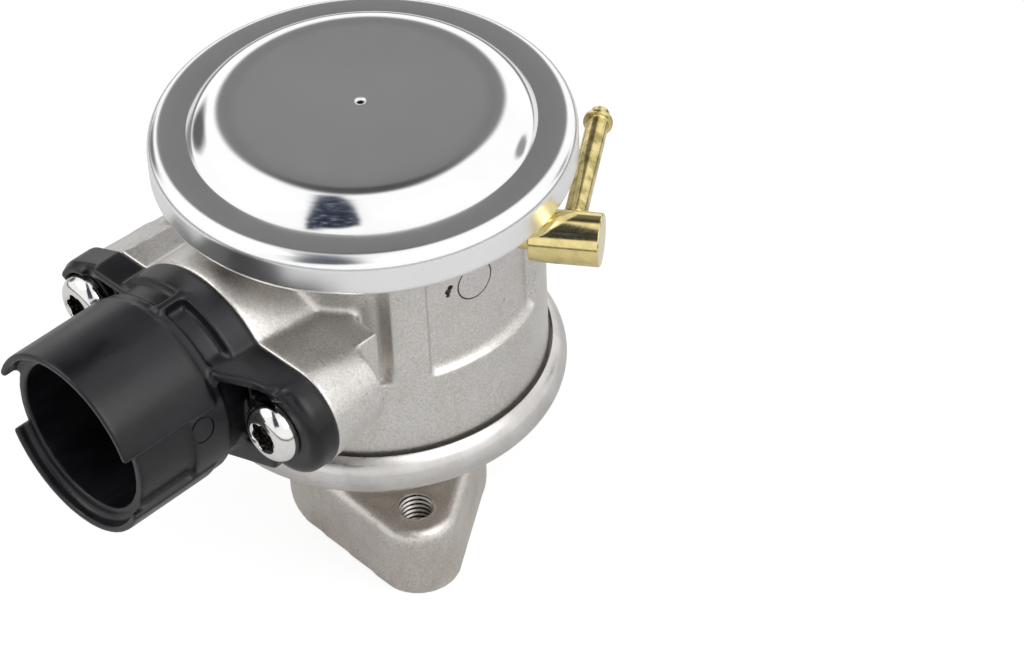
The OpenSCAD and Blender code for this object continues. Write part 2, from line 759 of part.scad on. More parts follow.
// The web along the top edge of the right ear, and the gusset that joins it to the band
module ear_gusset() {
    inner_x = tube_r * 0.7;
    translate([0, ear_top, 0]) rotate([90, 0, 0]) linear_extrude(rib_t) polygon([
        [inner_x, seat_y - 1], [inner_x, band_y + 1], [tube_r - 1, band_y + 0.5], [screw_x - 3, ear_front + 0.6],
        [screw_x, ear_front], [screw_x, seat_y - 1]
    ]);
}

// The web along the top of the left ear
module left_web() {
    translate([-left_top_x, ear_top - rib_t, seat_y - 1]) cube([left_top_x, rib_t, ear_front - seat_y + 1]);
}

// A skirt: part of a sleeve in front of the band
module skirt(mid, half, r_out, r_in, y_start, y_end) {
    translate([0, 0, y_start]) linear_extrude(y_end - y_start) intersection() {
        difference() {
            circle(r = r_out);
            circle(r = r_in);
        }
        sector(mid - half, mid + half, r_out);
    }
}

// The moulded hose connector: spigot, flange with pocketed ears, ribbed groove, band, tube and two skirts
module hose_connector() {
    rib_a = 85;
    solid_a = 128;
    color([0.11, 0.11, 0.12]) on_inlet() difference() {
        union() {
            translate([0, 0, socket_bottom + spigot_end_gap]) cylinder(r = spigot_r, h = seam_y - socket_bottom);
            translate([0, 0, seam_y]) linear_extrude(hub_l) hub_outline(hub_r);
            translate([0, 0, seam_y]) linear_extrude(ear_plate_t) flange_outline();
            translate([0, 0, seam_y]) cylinder(r = groove_r, h = hub_l + groove_l + 1);
            translate([0, 0, band_y]) cylinder(r = band_r, h = band_l - 0.4);
            translate([0, 0, band_y]) cylinder(r = tube_r, h = mouth_y - band_y);
            // Rib across the groove, and the solid stretch beside it
            translate([0, 0, groove_y - 1]) linear_extrude(groove_l + 2) intersection() {
                circle(r = hub_r + 0.2);
                rotate([0, 0, rib_a]) translate([0, -rib_t / 2]) square([2 * band_r, rib_t]);
            }
            translate([0, 0, groove_y - 1]) linear_extrude(groove_l + 2) intersection() {
                circle(r = band_r - 0.7);
                sector(rib_a, solid_a, band_r);
            }
            // Skirts
            skirt(90, upper_skirt_half, upper_skirt_r, bore_r + 1, band_y + 2, mouth_y - 1.5);
            skirt(90, upper_skirt_half, upper_skirt_r, upper_skirt_r - skirt_wall, mouth_y - 2, skirt_end);
            skirt(-90, lower_skirt_half, lower_skirt_r, bore_r + 1, band_y + 3, skirt_y + 1.5);
            skirt(-90, lower_skirt_half, lower_skirt_r, lower_skirt_r - skirt_wall, skirt_y, skirt_end - 0.6);
            // Ears
            ear_rim(1, ear_r, ear_r - ear_rim_wall);
            ear_rim(-1, left_ear_r, head_r + head_gap);
            ear_gusset();
            left_web();
        }
        // Bore, wider in the mouth
        translate([0, 0, socket_bottom - cut]) cylinder(r = throat_r, h = mouth_y);
        translate([0, 0, seam_y + 3]) cylinder(r = bore_r, h = mouth_y);
        // Groove for the O-ring on the spigot
        translate([0, 0, o_groove_y]) ring(spigot_r + 1, spigot_r - o_groove_depth, o_groove_w);
        // Holes for the sleeves in the ears
        at_screws() translate([0, 0, seam_y - cut]) cylinder(r = sleeve_hole_r, h = 2 * ear_plate_t);
        // Pockets between the tube and the screw heads
        pocket(1, ear_r);
        pocket(-1, left_ear_r);
        // Ejector mark on the band
        rotate([0, 0, 11]) translate([band_r - 0.25, 0, skirt_y - 2.3]) rotate([0, 90, 0]) {
            difference() {
                cylinder(d = ejector_d + 0.5, h = 1);
                translate([0, 0, -cut]) cylinder(d = ejector_d, h = 2);
            }
        }
    }
}

// The pocket that is sunk into an ear between the tube and the screw's boss, with a thin rib in it
module pocket(side, r) {
    boss_r = sleeve_hole_r + boss_wall;
    depth = ear_plate_t - 1.2;
    mirror([side < 0 ? 1 : 0, 0, 0]) translate([0, 0, seat_y - depth]) {
        linear_extrude(depth + cut) difference() {
            translate([tube_r - 1, screw_rise - r + rib_t]) square([screw_x - tube_r + 1, 2 * r - 2 * rib_t]);
            circle(r = groove_r);
            translate([screw_x, screw_rise]) circle(r = boss_r);
            translate([tube_r + 0.8, -r]) square([0.8, 2 * r]);
        }
    }
}

module connector_o_ring() {
    inner = spigot_r - o_groove_depth + seat_gap;
    outer = socket_d / 2 - seat_gap;
    color([0.16, 0.10, 0.09]) on_inlet() translate([0, 0, o_groove_y + o_groove_w / 2]) {
        rotate_extrude() translate([(outer + inner) / 2, 0]) circle(d = outer - inner, $fn = 24);
    }
}

module ear_sleeves() {
    color([0.70, 0.68, 0.62]) on_inlet() at_screws() translate([0, 0, seam_y + seat_gap]) {
        ring(sleeve_in_r + sleeve_wall, sleeve_in_r, ear_plate_t - 2 * seat_gap);
    }
}

// Button-head screws with a six-lobed recess
module connector_screws() {
    edge_r = screw_head_h - 0.8;
    color([0.82, 0.80, 0.76]) on_inlet() at_screws() translate([0, 0, seat_y + seat_gap]) difference() {
        union() {
            rotate_extrude() polygon(concat(
                [[0, 0], [head_r - 0.3, 0], [head_r, 0.3]],
                arc(head_r - edge_r, screw_head_h - edge_r, edge_r, 0, 90, 6),
                [[0, screw_head_h]]
            ));
            translate([0, 0, -screw_l]) cylinder(d = screw_d - 2 * seat_gap, h = screw_l + 0.1);
        }
        translate([0, 0, screw_head_h - 2]) {
            cylinder(d = recess_d * 0.74, h = 4);
            for (k = [0 : 5]) rotate([0, 0, 60 * k]) translate([recess_d * 0.36, 0, 0]) {
                cylinder(d = recess_d * 0.28, h = 4);
            }
        }
    }
}

// The turned elbow: neck, body and the cross hole for the hose tail
module vacuum_elbow() {
    neck_in = 8;
    color([0.80, 0.70, 0.36]) on_elbow() difference() {
        union() {
            rotate([0, 90, 0]) cylinder(d = elbow_d, h = elbow_l);
            translate([-neck_in, 0, 0]) rotate([0, 90, 0]) {
                cylinder(d = neck_d - 2 * seat_gap, h = neck_in + 1);
            }
        }
        translate([-neck_in - cut, 0, 0]) rotate([0, 90, 0]) {
            cylinder(d = neck_d - 2.4, h = neck_in + cut + tail_at + 1);
        }
        translate([tail_at, 0, 0]) rotate([-90, 0, 0]) cylinder(d = tail_d, h = elbow_d);
    }
}

module hose_tail() {
    start = 1.8;
    tip_r = tail_r - 0.5;
    color([0.80, 0.70, 0.36]) on_elbow() translate([tail_at, 0, 0]) rotate([-90, 0, 0]) {
        rotate_extrude() polygon([
            [tail_bore_d / 2, start], [tail_r - seat_gap, start], [tail_r - seat_gap, barb_y],
            [barb_d / 2, barb_y], [barb_d / 2, barb_y + barb_land],
            [tip_r, tail_reach - 0.3], [tip_r - 0.3, tail_reach], [tail_bore_d / 2, tail_reach]
        ]);
    }
}

valve_body();
base_flange();
lower_clamp_ring();
joint_seal();
valve_seat();
diaphragm_cover();
diaphragm();
upper_diaphragm_plate();
lower_diaphragm_plate();
stem();
stem_nut();
stem_guide();
stem_seal();
return_spring();
spring_seat();
valve_disc();
disc_seal();
disc_washer();
disc_nut();
hose_connector();
connector_o_ring();
ear_sleeves();
connector_screws();
vacuum_elbow();
hose_tail();
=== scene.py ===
"""Secondary air valve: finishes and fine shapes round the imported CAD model."""

import math

import bmesh
import bpy
from mathutils import Matrix, Vector


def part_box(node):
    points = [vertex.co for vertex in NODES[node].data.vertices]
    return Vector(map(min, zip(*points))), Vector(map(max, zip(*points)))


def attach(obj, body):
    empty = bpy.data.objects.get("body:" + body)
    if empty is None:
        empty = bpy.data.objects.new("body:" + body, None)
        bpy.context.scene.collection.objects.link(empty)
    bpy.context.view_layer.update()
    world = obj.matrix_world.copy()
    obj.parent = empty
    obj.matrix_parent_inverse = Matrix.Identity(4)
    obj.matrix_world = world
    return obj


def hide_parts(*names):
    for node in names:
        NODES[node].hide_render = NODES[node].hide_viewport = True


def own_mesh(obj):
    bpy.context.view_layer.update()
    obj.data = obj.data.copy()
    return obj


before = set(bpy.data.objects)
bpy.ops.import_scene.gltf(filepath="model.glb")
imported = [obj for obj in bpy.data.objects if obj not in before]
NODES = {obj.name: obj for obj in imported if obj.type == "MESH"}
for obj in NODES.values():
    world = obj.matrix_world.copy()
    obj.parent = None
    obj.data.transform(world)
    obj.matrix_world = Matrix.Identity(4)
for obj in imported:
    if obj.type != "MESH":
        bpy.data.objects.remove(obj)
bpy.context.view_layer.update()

bl_info = {
    "name": "Secondary air valve",
    "version": (1, 0, 0),
    "blender": (4, 5, 0),
    "location": "3D View > Sidebar > Air valve",
    "description": "Dresses the CAD model of a secondary air valve",
    "category": "Object",
}

MM = 0.001


# Colours and nodes

def linear(code):
    """An sRGB hex colour as a linear colour with full alpha."""
    parts = [int(code[i:i + 2], 16) / 255 for i in (1, 3, 5)]
    return [c / 12.92 if c <= 0.04045 else ((c + 0.055) / 1.055) ** 2.4 for c in parts] + [1.0]


def grey(level):
    """A grey of that linear level."""
    return (level, level, level, 1.0)


def add(tree, kind, inputs=None, stops=None, **settings):
    """Adds a node with its settings; an input is linked where it is given a socket, and set otherwise."""
    node = tree.nodes.new(kind)
    for name, value in settings.items():
        setattr(node, name, value)
    for name, value in (inputs or {}).items():
        if isinstance(value, bpy.types.NodeSocket):
            tree.links.new(value, node.inputs[name])
        else:
            node.inputs[name].default_value = value
    if stops:
        ramp = node.color_ramp.elements
        while len(ramp) < len(stops):
            ramp.new(1.0)
        for element, (position, colour) in zip(ramp, stops):
            element.position = position
            element.color = colour
    return node


def out(tree, kind, inputs=None, **settings):
    """Adds a node and gives its first output."""
    return add(tree, kind, inputs, **settings).outputs[0]


def maths(tree, operation, *values):
    """The result of a Math node."""
    return out(tree, "ShaderNodeMath", dict(enumerate(values)), operation=operation)


def vector(tree, x=0.0, y=0.0, z=0.0):
    """A vector of three values."""
    return out(tree, "ShaderNodeCombineXYZ", {"X": x, "Y": y, "Z": z})


def per_metre(size_mm):
    """The scale of a pattern whose features are that many millimetres apart."""
    return 1000.0 / size_mm


def blank_material(name):
    """A material without nodes, and its tree."""
    material = bpy.data.materials.new(name)
    material.use_nodes = True
    material.node_tree.nodes.clear()
    return material, material.node_tree


def principled(name, **values):
    """A material, its tree, its Principled shader with those inputs, and the object's coordinates."""
    material, tree = blank_material(name)
    shader = add(tree, "ShaderNodeBsdfPrincipled", values)
    add(tree, "ShaderNodeOutputMaterial", {"Surface": shader.outputs[0]})
    return material, tree, shader, add(tree, "ShaderNodeTexCoord").outputs["Object"]


def stretched(tree, where, scale, turn=(0.0, 0.0, 0.0)):
    """Coordinates turned and scaled, so that a pattern on them is drawn out."""
    return out(tree, "ShaderNodeMapping", {"Vector": where, "Rotation": turn, "Scale": scale})


def speckle(tree, where, size_mm, detail=2.0, roughness=0.55):
    """Noise whose features are about size_mm across."""
    return out(tree, "ShaderNodeTexNoise", {
        "Vector": where, "Scale": per_metre(size_mm), "Detail": detail, "Roughness": roughness})


def spread(tree, value, low, high, to_low=0.0, to_high=1.0):
    """Maps low..high of a value smoothly onto to_low..to_high."""
    return out(tree, "ShaderNodeMapRange", {
        "Value": value, "From Min": low, "From Max": high, "To Min": to_low, "To Max": to_high},
        interpolation_type="SMOOTHSTEP")


def band(tree, value, start, full, fade, end):
    """One where a value lies from full to fade, and nought before start and after end."""
    return maths(tree, "SUBTRACT", spread(tree, value, start, full), spread(tree, value, fade, end))


def blended(tree, share, first, second, how="MIX"):
    """Mixes two colours by a share."""
    return add(tree, "ShaderNodeMix", {0: share, 6: first, 7: second},
               data_type="RGBA", blend_type=how).outputs[2]


def bumped(tree, layers):
    """Stacks bumps of (height, depth in mm) and gives the last normal."""
    normal = None
    for height, depth in layers:
        inputs = {"Height": height, "Distance": depth * MM, "Strength": 1.0}
        if normal:
            inputs["Normal"] = normal
        normal = out(tree, "ShaderNodeBump", inputs)
    return normal


def radius_of(tree, where):
    """The distance from the valve axis, in millimetres."""
    flat = out(tree, "ShaderNodeVectorMath", {0: where, 1: (1000.0, 1000.0, 0.0)}, operation="MULTIPLY")
    return add(tree, "ShaderNodeVectorMath", {0: flat}, operation="LENGTH").outputs["Value"]


def wire(tree, shader, colour, roughness, layers):
    """Links a colour, a roughness and bump layers to a shader."""
    tree.links.new(colour, shader.inputs["Base Color"])
    tree.links.new(roughness, shader.inputs["Roughness"])
    tree.links.new(bumped(tree, layers), shader.inputs["Normal"])


# Materials

def die_cast_aluminium(name, colour, stain, stain_share):
    """Shot-blasted die-cast aluminium: pale satin grey, a fine sparkle, soft clouds and dark specks."""
    material, tree, shader, where = principled(name, Metallic=1.0)
    grain = speckle(tree, where, 0.40, 3.0, 0.65)
    cloud = speckle(tree, where, 9.0, 3.0)
    patch = speckle(tree, where, 5.0, 4.0, 0.6)
    specks = speckle(tree, where, 1.1)
    body = blended(tree, spread(tree, cloud, 0.3, 0.7, 0.0, 0.35), colour, stain)
    body = blended(tree, spread(tree, patch, 0.55, 0.75, 0.0, stain_share), body, stain)
    shade = blended(tree, spread(tree, grain, 0.3, 0.7), grey(0.84), grey(1.10))
    body = blended(tree, 1.0, body, shade, "MULTIPLY")
    body = blended(tree, spread(tree, specks, 0.70, 0.76, 0.0, 0.5), body, linear("#4a4642"))
    rough = spread(tree, grain, 0.25, 0.75, 0.34, 0.46)
    wire(tree, shader, body, rough, [(cloud, 0.08), (speckle(tree, where, 1.6), 0.025), (grain, 0.022)])
    return material


def pressed_steel(name, colour, top_r, foot_r, edge_r, rim_r):
    """Pressed stainless sheet: satin on the flats, bright as a mirror where the tool stretched it."""
    material, tree, shader, where = principled(name, Metallic=1.0)
    share = maths(tree, "DIVIDE", radius_of(tree, where), rim_r)

    def by_radius(rows):
        """Levels for radii in mm."""
        return out(tree, "ShaderNodeValToRGB", {"Fac": share}, stops=[(r / rim_r, grey(v)) for r, v in rows])

    finish = by_radius([
        (0.0, 0.27), (top_r - 1.6, 0.25), (top_r + 2.4, 0.10), (foot_r - 0.3, 0.085), (foot_r + 0.2, 0.26),
        (edge_r, 0.26), (edge_r + 0.9, 0.19), (rim_r - 0.12, 0.20), (rim_r, 0.29)])
    # Painted shade: tone darkens the colour of the annulus between the dome's foot and the rim's shoulder.
    tone = by_radius([
        (0.0, 1.0), (foot_r - 0.2, 1.0), (foot_r + 0.3, 0.82), (edge_r, 0.87), (edge_r + 0.9, 1.0),
        (rim_r, 1.0)])
    streak = speckle(tree, stretched(tree, where, (0.05, 1.0, 1.0), (0.0, 0.0, 0.9)), 0.5)
    grain = speckle(tree, where, 0.35)
    cloud = speckle(tree, where, 11.0, 3.0)
    satin = spread(tree, finish, 0.14, 0.22)
    body = blended(tree, 1.0, colour, tone, "MULTIPLY")
    body = blended(tree, 1.0, body, blended(tree, cloud, grey(0.94), grey(1.05)), "MULTIPLY")
    specks = maths(tree, "MULTIPLY", spread(tree, grain, 0.68, 0.78, 0.0, 0.35), satin)
    body = blended(tree, specks, body, linear("#2c2b2b"))
    rough = maths(tree, "MULTIPLY", finish, spread(tree, streak, 0.3, 0.7, 0.98, 1.02))
    wire(tree, shader, body, rough, [(cloud, 0.010), (maths(tree, "MULTIPLY", streak, satin), 0.0002)])
    return material


def rolled_steel(name, colour):
    """Zinc-plated sheet, rolled over: a soft satin with turning marks round it and small dark scratches."""
    material, tree, shader, where = principled(name, Metallic=1.0)
    marks = speckle(tree, stretched(tree, where, (0.12, 0.12, 1.0)), 0.28, 3.0)
    cloud = speckle(tree, where, 7.0, 3.0)
    nicks = speckle(tree, stretched(tree, where, (1.0, 0.25, 1.0), (0.4, 0.2, 0.5)), 0.55, 3.0, 0.6)
    body = blended(tree, spread(tree, cloud, 0.3, 0.7, 0.0, 0.5), colour, linear("#b5b2ae"))
    body = blended(tree, spread(tree, nicks, 0.71, 0.77, 0.0, 0.75), body, linear("#3b3937"))
    wire(tree, shader, body, spread(tree, marks, 0.25, 0.75, 0.24, 0.38), [(marks, 0.006), (cloud, 0.03)])
    return material


def glass_filled_nylon(name, colour):
    """Moulded glass-filled nylon: dry black, a greyish sheen, a leathery grain and faint flow clouds."""
    material, tree, shader, where = principled(name, IOR=1.42)
    grain = speckle(tree, where, 0.40, 3.0, 0.6)
    flow = speckle(tree, stretched(tree, where, (1.0, 0.4, 1.0)), 6.0, 3.0)
    body = blended(tree, spread(tree, flow, 0.3, 0.75), colour, linear("#1e1e22"))
    body = blended(tree, spread(tree, grain, 0.68, 0.76, 0.0, 0.4), body, linear("#38393e"))
    wire(tree, shader, body, spread(tree, flow, 0.3, 0.7, 0.28, 0.38), [(flow, 0.05), (grain, 0.014)])
    return material


def moulded_rubber(name, colour):
    """Moulded fluorocarbon rubber: a flat black brown with a fine bloom."""
    material, tree, shader, where = principled(name, IOR=1.5)
    grain = speckle(tree, where, 0.25)
    bloom = speckle(tree, where, 4.0, 3.0)
    body = blended(tree, spread(tree, bloom, 0.35, 0.75), colour, linear("#2b2927"))
    wire(tree, shader, body, spread(tree, grain, 0.3, 0.7, 0.60, 0.78), [(grain, 0.015)])
    return material


def bright_plate(name, colour):
    """Bright plated steel: nearly a mirror, with a faint haze."""
    material, tree, shader, where = principled(name, Metallic=1.0)
    haze = speckle(tree, where, 1.4, 3.0)
    body = blended(tree, haze, colour, linear("#dcdad6"))
    wire(tree, shader, body, spread(tree, haze, 0.3, 0.7, 0.08, 0.16), [(haze, 0.006)])
    return material


def yellow_passivate(name, colour, film, film_share, dull):
    """Yellow-passivated zinc plate: pale gold with a thin olive and rose film that drifts over it."""
    material, tree, shader, where = principled(name, Metallic=1.0)
    drift = speckle(tree, where, 2.6, 4.0, 0.6)
    rose = speckle(tree, where, 4.5)
    haze = speckle(tree, where, 0.5)
    body = blended(tree, spread(tree, drift, 0.38, 0.68, 0.0, film_share), colour, film)
    body = blended(tree, spread(tree, rose, 0.60, 0.74, 0.0, 0.4 * film_share), body, linear("#c98f7a"))
    wire(tree, shader, body, spread(tree, haze, 0.3, 0.7, dull, dull + 0.06), [(haze, 0.003), (drift, 0.004)])
    return material


def painted_shade_metal(name, colour):
    """Painted shade for metal in a recess, a thread's root, a pit or a groove: a dark colour standing for the
    shade there, with paler patches.
    """
    material, tree, shader, where = principled(name, Metallic=0.6)
    dust = speckle(tree, where, 0.5, 3.0)
    body = blended(tree, spread(tree, dust, 0.45, 0.75), colour, linear("#8d877a"))
    wire(tree, shader, body, spread(tree, dust, 0.3, 0.7, 0.30, 0.50), [(dust, 0.02)])
    return material


def zinc_plate(name, colour):
    """Zinc-plated steel: cool grey, a little cloudy, semi-bright."""
    material, tree, shader, where = principled(name, Metallic=1.0)
    cloud = speckle(tree, where, 3.0, 3.0)
    grain = speckle(tree, where, 0.3)
    body = blended(tree, cloud, colour, linear("#9d9a8c"))
    wire(tree, shader, body, spread(tree, grain, 0.3, 0.7, 0.22, 0.34), [(grain, 0.004)])
    return material


def machined_steel(name, colour):
    """Turned steel: fine rings of tool marks, 0.2 mm apart, on a clean grey."""
    material, tree, shader, where = principled(name, Metallic=1.0)
    rings = add(tree, "ShaderNodeTexWave", {
        "Vector": where, "Scale": per_metre(0.2) / (2 * math.pi), "Distortion": 0.6, "Detail": 1.0},
        wave_type="BANDS", bands_direction="Z").outputs[1]
    cloud = speckle(tree, where, 2.5, 3.0)
    body = blended(tree, cloud, colour, linear("#8d8f93"))
    wire(tree, shader, body, spread(tree, cloud, 0.3, 0.7, 0.24, 0.36), [(rings, 0.003)])
    return material


def sintered_bronze(name, colour):
    """Sintered bronze: a dull brown metal full of pores about 0.25 mm apart."""
    material, tree, shader, where = principled(name, Metallic=1.0)
    pores = speckle(tree, where, 0.25)
    body = blended(tree, spread(tree, pores, 0.58, 0.70), colour, linear("#4b3822"))
    wire(tree, shader, body, spread(tree, pores, 0.3, 0.7, 0.38, 0.56), [(pores, 0.02)])
    return material


# Shapes

def arc(cx, cy, r, a0, a1, steps=8):
    """Points along an arc, angles in degrees."""
    angles = [math.radians(a0 + (a1 - a0) * i / steps) for i in range(steps + 1)]
    return [(cx + r * math.cos(a), cy + r * math.sin(a)) for a in angles]


def rounded(corners, steps=5):
    """A closed outline from corners (x, y, radius), each rounded by its radius."""
    points = []
    for i, (x, y, r) in enumerate(corners):
        here = Vector((x, y))
        before = (Vector(corners[i - 1][:2]) - here).normalized()
        after = (Vector(corners[(i + 1) % len(corners)][:2]) - here).normalized()
        half = before.angle(after) / 2
        if r <= 0 or math.pi / 2 - half < 0.01:
            points.append((x, y))
            continue
        middle = here + (before + after).normalized() * (r / math.sin(half))
        start = here + before * (r / math.tan(half)) - middle
        turn = start.angle_signed(here + after * (r / math.tan(half)) - middle)
        for k in range(steps + 1):
            a = -turn * k / steps
            points.append((middle.x + start.x * math.cos(a) - start.y * math.sin(a),
                           middle.y + start.x * math.sin(a) + start.y * math.cos(a)))
    return points


def as_object(name, bm, sharp_angle):
    """Turns a bmesh into an object in the scene, smooth but for edges sharper than an angle in degrees."""
    bmesh.ops.recalc_face_normals(bm, faces=bm.faces)
    mesh = bpy.data.meshes.new(name)
    bm.to_mesh(mesh)
    bm.free()
    mesh.shade_smooth()
    mesh.set_sharp_from_angle(angle=math.radians(sharp_angle))
    obj = bpy.data.objects.new(name, mesh)
    bpy.context.scene.collection.objects.link(obj)
    return obj


def bridge(bm, rows):
    """Makes faces between neighbouring closed rows of points; a row of one point is a pole."""
    for low, high in zip(rows, rows[1:]):
        count = max(len(low), len(high))
        for k in range(count if count > 1 else 0):
            n = (k + 1) % count
            corners = [low[k % len(low)], low[n % len(low)], high[n % len(high)], high[k % len(high)]]
            bm.faces.new(list(dict.fromkeys(corners)))


def turned(name, outline, place=Matrix.Identity(4), segments=192, sharp_angle=35):
    """Turns an outline of (radius, height) in mm about Z; a third number waves the radius in six lobes."""
    bm = bmesh.new()
    rows = []
    for point in outline:
        radius, height = point[:2]
        lobe = point[2] if len(point) > 2 else 0.0
        if radius < 1e-6:
            rows.append([bm.verts.new((0.0, 0.0, height))])
            continue
        row = []
        for k in range(segments):
            a = 2 * math.pi * k / segments
            r = radius * (1 + lobe * math.cos(6 * a))
            row.append(bm.verts.new((r * math.cos(a), r * math.sin(a), height)))
        rows.append(row)
    bridge(bm, rows + rows[:1])
    bm.transform(place @ Matrix.Scale(MM, 4))
    return as_object(name, bm, sharp_angle)


def sector(outline, place, start, end, steps=48):
    """A closed outline of (radius, height) in mm, turned about Z between two angles in degrees, with ends."""
    bm = bmesh.new()
    rows = []
    for i in range(steps + 1):
        a = math.radians(start + (end - start) * i / steps)
        rows.append([bm.verts.new((r * math.cos(a), r * math.sin(a), h)) for r, h in outline])
    bridge(bm, rows)
    bm.faces.new(rows[0])
    bm.faces.new(rows[-1])
    bmesh.ops.triangulate(bm, faces=[f for f in bm.faces if len(f.verts) > 4])
    bm.transform(place @ Matrix.Scale(MM, 4))
    return as_object("tool", bm, 35)


def rod(radius, low, high, place, segments):
    """A plain cylinder for cutting, in mm."""
    return turned("tool", [(0, low), (radius, low), (radius, high), (0, high)], place, segments)


def merged_copy(node, name):
    """A copy of a CAD node with its loose triangles merged into one closed surface."""
    bm = bmesh.new()
    bm.from_mesh(NODES[node].data)
    bmesh.ops.remove_doubles(bm, verts=bm.verts, dist=0.002 * MM)
    return as_object(name, bm, 30)


def applied(obj, sharp_angle=60):
    """Applies an object's modifiers and leaves a plain mesh."""
    bpy.context.view_layer.update()
    mesh = bpy.data.meshes.new_from_object(obj.evaluated_get(bpy.context.evaluated_depsgraph_get()))
    obj.modifiers.clear()
    obj.data = mesh
    mesh.name = obj.name
    mesh.shade_smooth()
    mesh.set_sharp_from_angle(angle=math.radians(sharp_angle))
    return obj


def moulded_skin(obj, voxel, fillet, most_triangles, polish=4):
    """Softens a solid as a mould does: inner corners get a fillet, edges a small radius. Sizes in mm."""
    def remesh():
        modifier = obj.modifiers.new("skin", "REMESH")
        modifier.mode = "VOXEL"
        modifier.voxel_size = voxel * MM
        modifier.use_smooth_shade = True

    def smooth(times):
        modifier = obj.modifiers.new("polish", "SMOOTH")
        modifier.factor = 0.5
        modifier.iterations = times

    def grow(distance):
        modifier = obj.modifiers.new("grow", "DISPLACE")
        modifier.mid_level = 0.0
        modifier.strength = distance * MM

    remesh()
    smooth(2)
    grow(fillet)
    remesh()
    smooth(2)
    grow(-fillet)
    smooth(polish)
    applied(obj)
    triangles = sum(len(p.vertices) - 2 for p in obj.data.polygons)
    if triangles > most_triangles:
        thin = obj.modifiers.new("thin", "DECIMATE")
        thin.ratio = most_triangles / triangles
        applied(obj)


def cut_away(obj, tool, sharp_angle=35):
    """Cuts one closed solid out of another."""
    modifier = obj.modifiers.new("cut", "BOOLEAN")
    modifier.operation = "DIFFERENCE"
    modifier.solver = "MANIFOLD"
    modifier.object = tool
    applied(obj, sharp_angle)
    bpy.data.objects.remove(tool)
    return obj


# Geometry Nodes

def node_tree(name, values):
    """A tree with a mesh input, an input for each value, which is its default, and a geometry output."""
    tree = bpy.data.node_groups.new(name, "GeometryNodeTree")
    tree.interface.new_socket("Geometry", in_out="INPUT", socket_type="NodeSocketGeometry")
    for label, value in values.items():
        kind = "NodeSocketFloat" if isinstance(value, float) else "NodeSocketMaterial"
        tree.interface.new_socket(label, in_out="INPUT", socket_type=kind).default_value = value
    tree.interface.new_socket("Geometry", in_out="OUTPUT", socket_type="NodeSocketGeometry")
    return tree, tree.nodes.new("NodeGroupInput").outputs


def coil(tree, resolution, turns, radius, height):
    """A helix round Z, from the origin up."""
    return out(tree, "GeometryNodeCurveSpiral", {
        "Resolution": resolution, "Rotations": turns, "Start Radius": radius, "End Radius": radius,
        "Height": height})


def swept(tree, curve, sides, radius):
    """Sweeps a regular section along a curve."""
    section = out(tree, "GeometryNodeCurvePrimitiveCircle", {"Resolution": sides, "Radius": radius})
    return out(tree, "GeometryNodeCurveToMesh", {"Curve": curve, "Profile Curve": section, "Fill Caps": True})


def pair(tree, spacing, y=0.0, z=0.0):
    """Two points a spacing apart along X."""
    first = vector(tree, maths(tree, "MULTIPLY", spacing, -0.5), y, z)
    return out(tree, "GeometryNodeMeshLine", {
        "Count": 2, "Start Location": first, "Offset": vector(tree, spacing)})


def closing(tree, geometry, material):
    """Ends a tree: real faces with their material."""
    real = out(tree, "GeometryNodeRealizeInstances", {"Geometry": geometry})
    painted = out(tree, "GeometryNodeSetMaterial", {"Geometry": real, "Material": material})
    add(tree, "NodeGroupOutput", {"Geometry": painted})


def empty_mesh(name):
    """An object with no faces yet, for a tree to fill."""
    obj = bpy.data.objects.new(name, bpy.data.meshes.new(name))
    bpy.context.scene.collection.objects.link(obj)
    return obj


def grown(obj, tree, values, sharp_angle=40):
    """Runs a tree on an object with the given inputs, and keeps the plain mesh it makes."""
    modifier = obj.modifiers.new("nodes", "NODES")
    modifier.node_group = tree
    for item in tree.interface.items_tree:
        if item.in_out == "INPUT" and item.name in values:
            modifier[item.identifier] = values[item.name]
    return applied(obj, sharp_angle)


# Pieces

def dress(obj, material, body, slot, *nodes):
    """Gives a finished piece its material and body, and hides the CAD nodes that it stands for; the slot is not
    used.
    """
    obj.data.materials.clear()
    obj.data.materials.append(material)
    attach(obj, body)
    if nodes:
        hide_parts(*nodes)


def paint_shade_on(obj, material, test):
    """Gives the faces whose middle, in mm, passes a test one more material, which paints shade on them."""
    obj.data.materials.append(material)
    for face in obj.data.polygons:
        if test(face.center / MM):
            face.material_index = len(obj.data.materials) - 1


def dress_node(node, material):
    """Gives a CAD node that keeps its shape its material."""
    NODES[node].data.materials.clear()
    NODES[node].data.materials.append(material)


# Sizes and colours

def size(name, description, default, unit=", in mm"):
    """A size that a user may change."""
    return bpy.props.FloatProperty(
        name=name, description=description + unit, default=default, min=0.0, unit="NONE")


def colour(name, description, code):
    """A colour that a user may change."""
    return bpy.props.FloatVectorProperty(
        name=name, description=description, subtype="COLOR", size=4, min=0.0, max=1.0, default=linear(code))


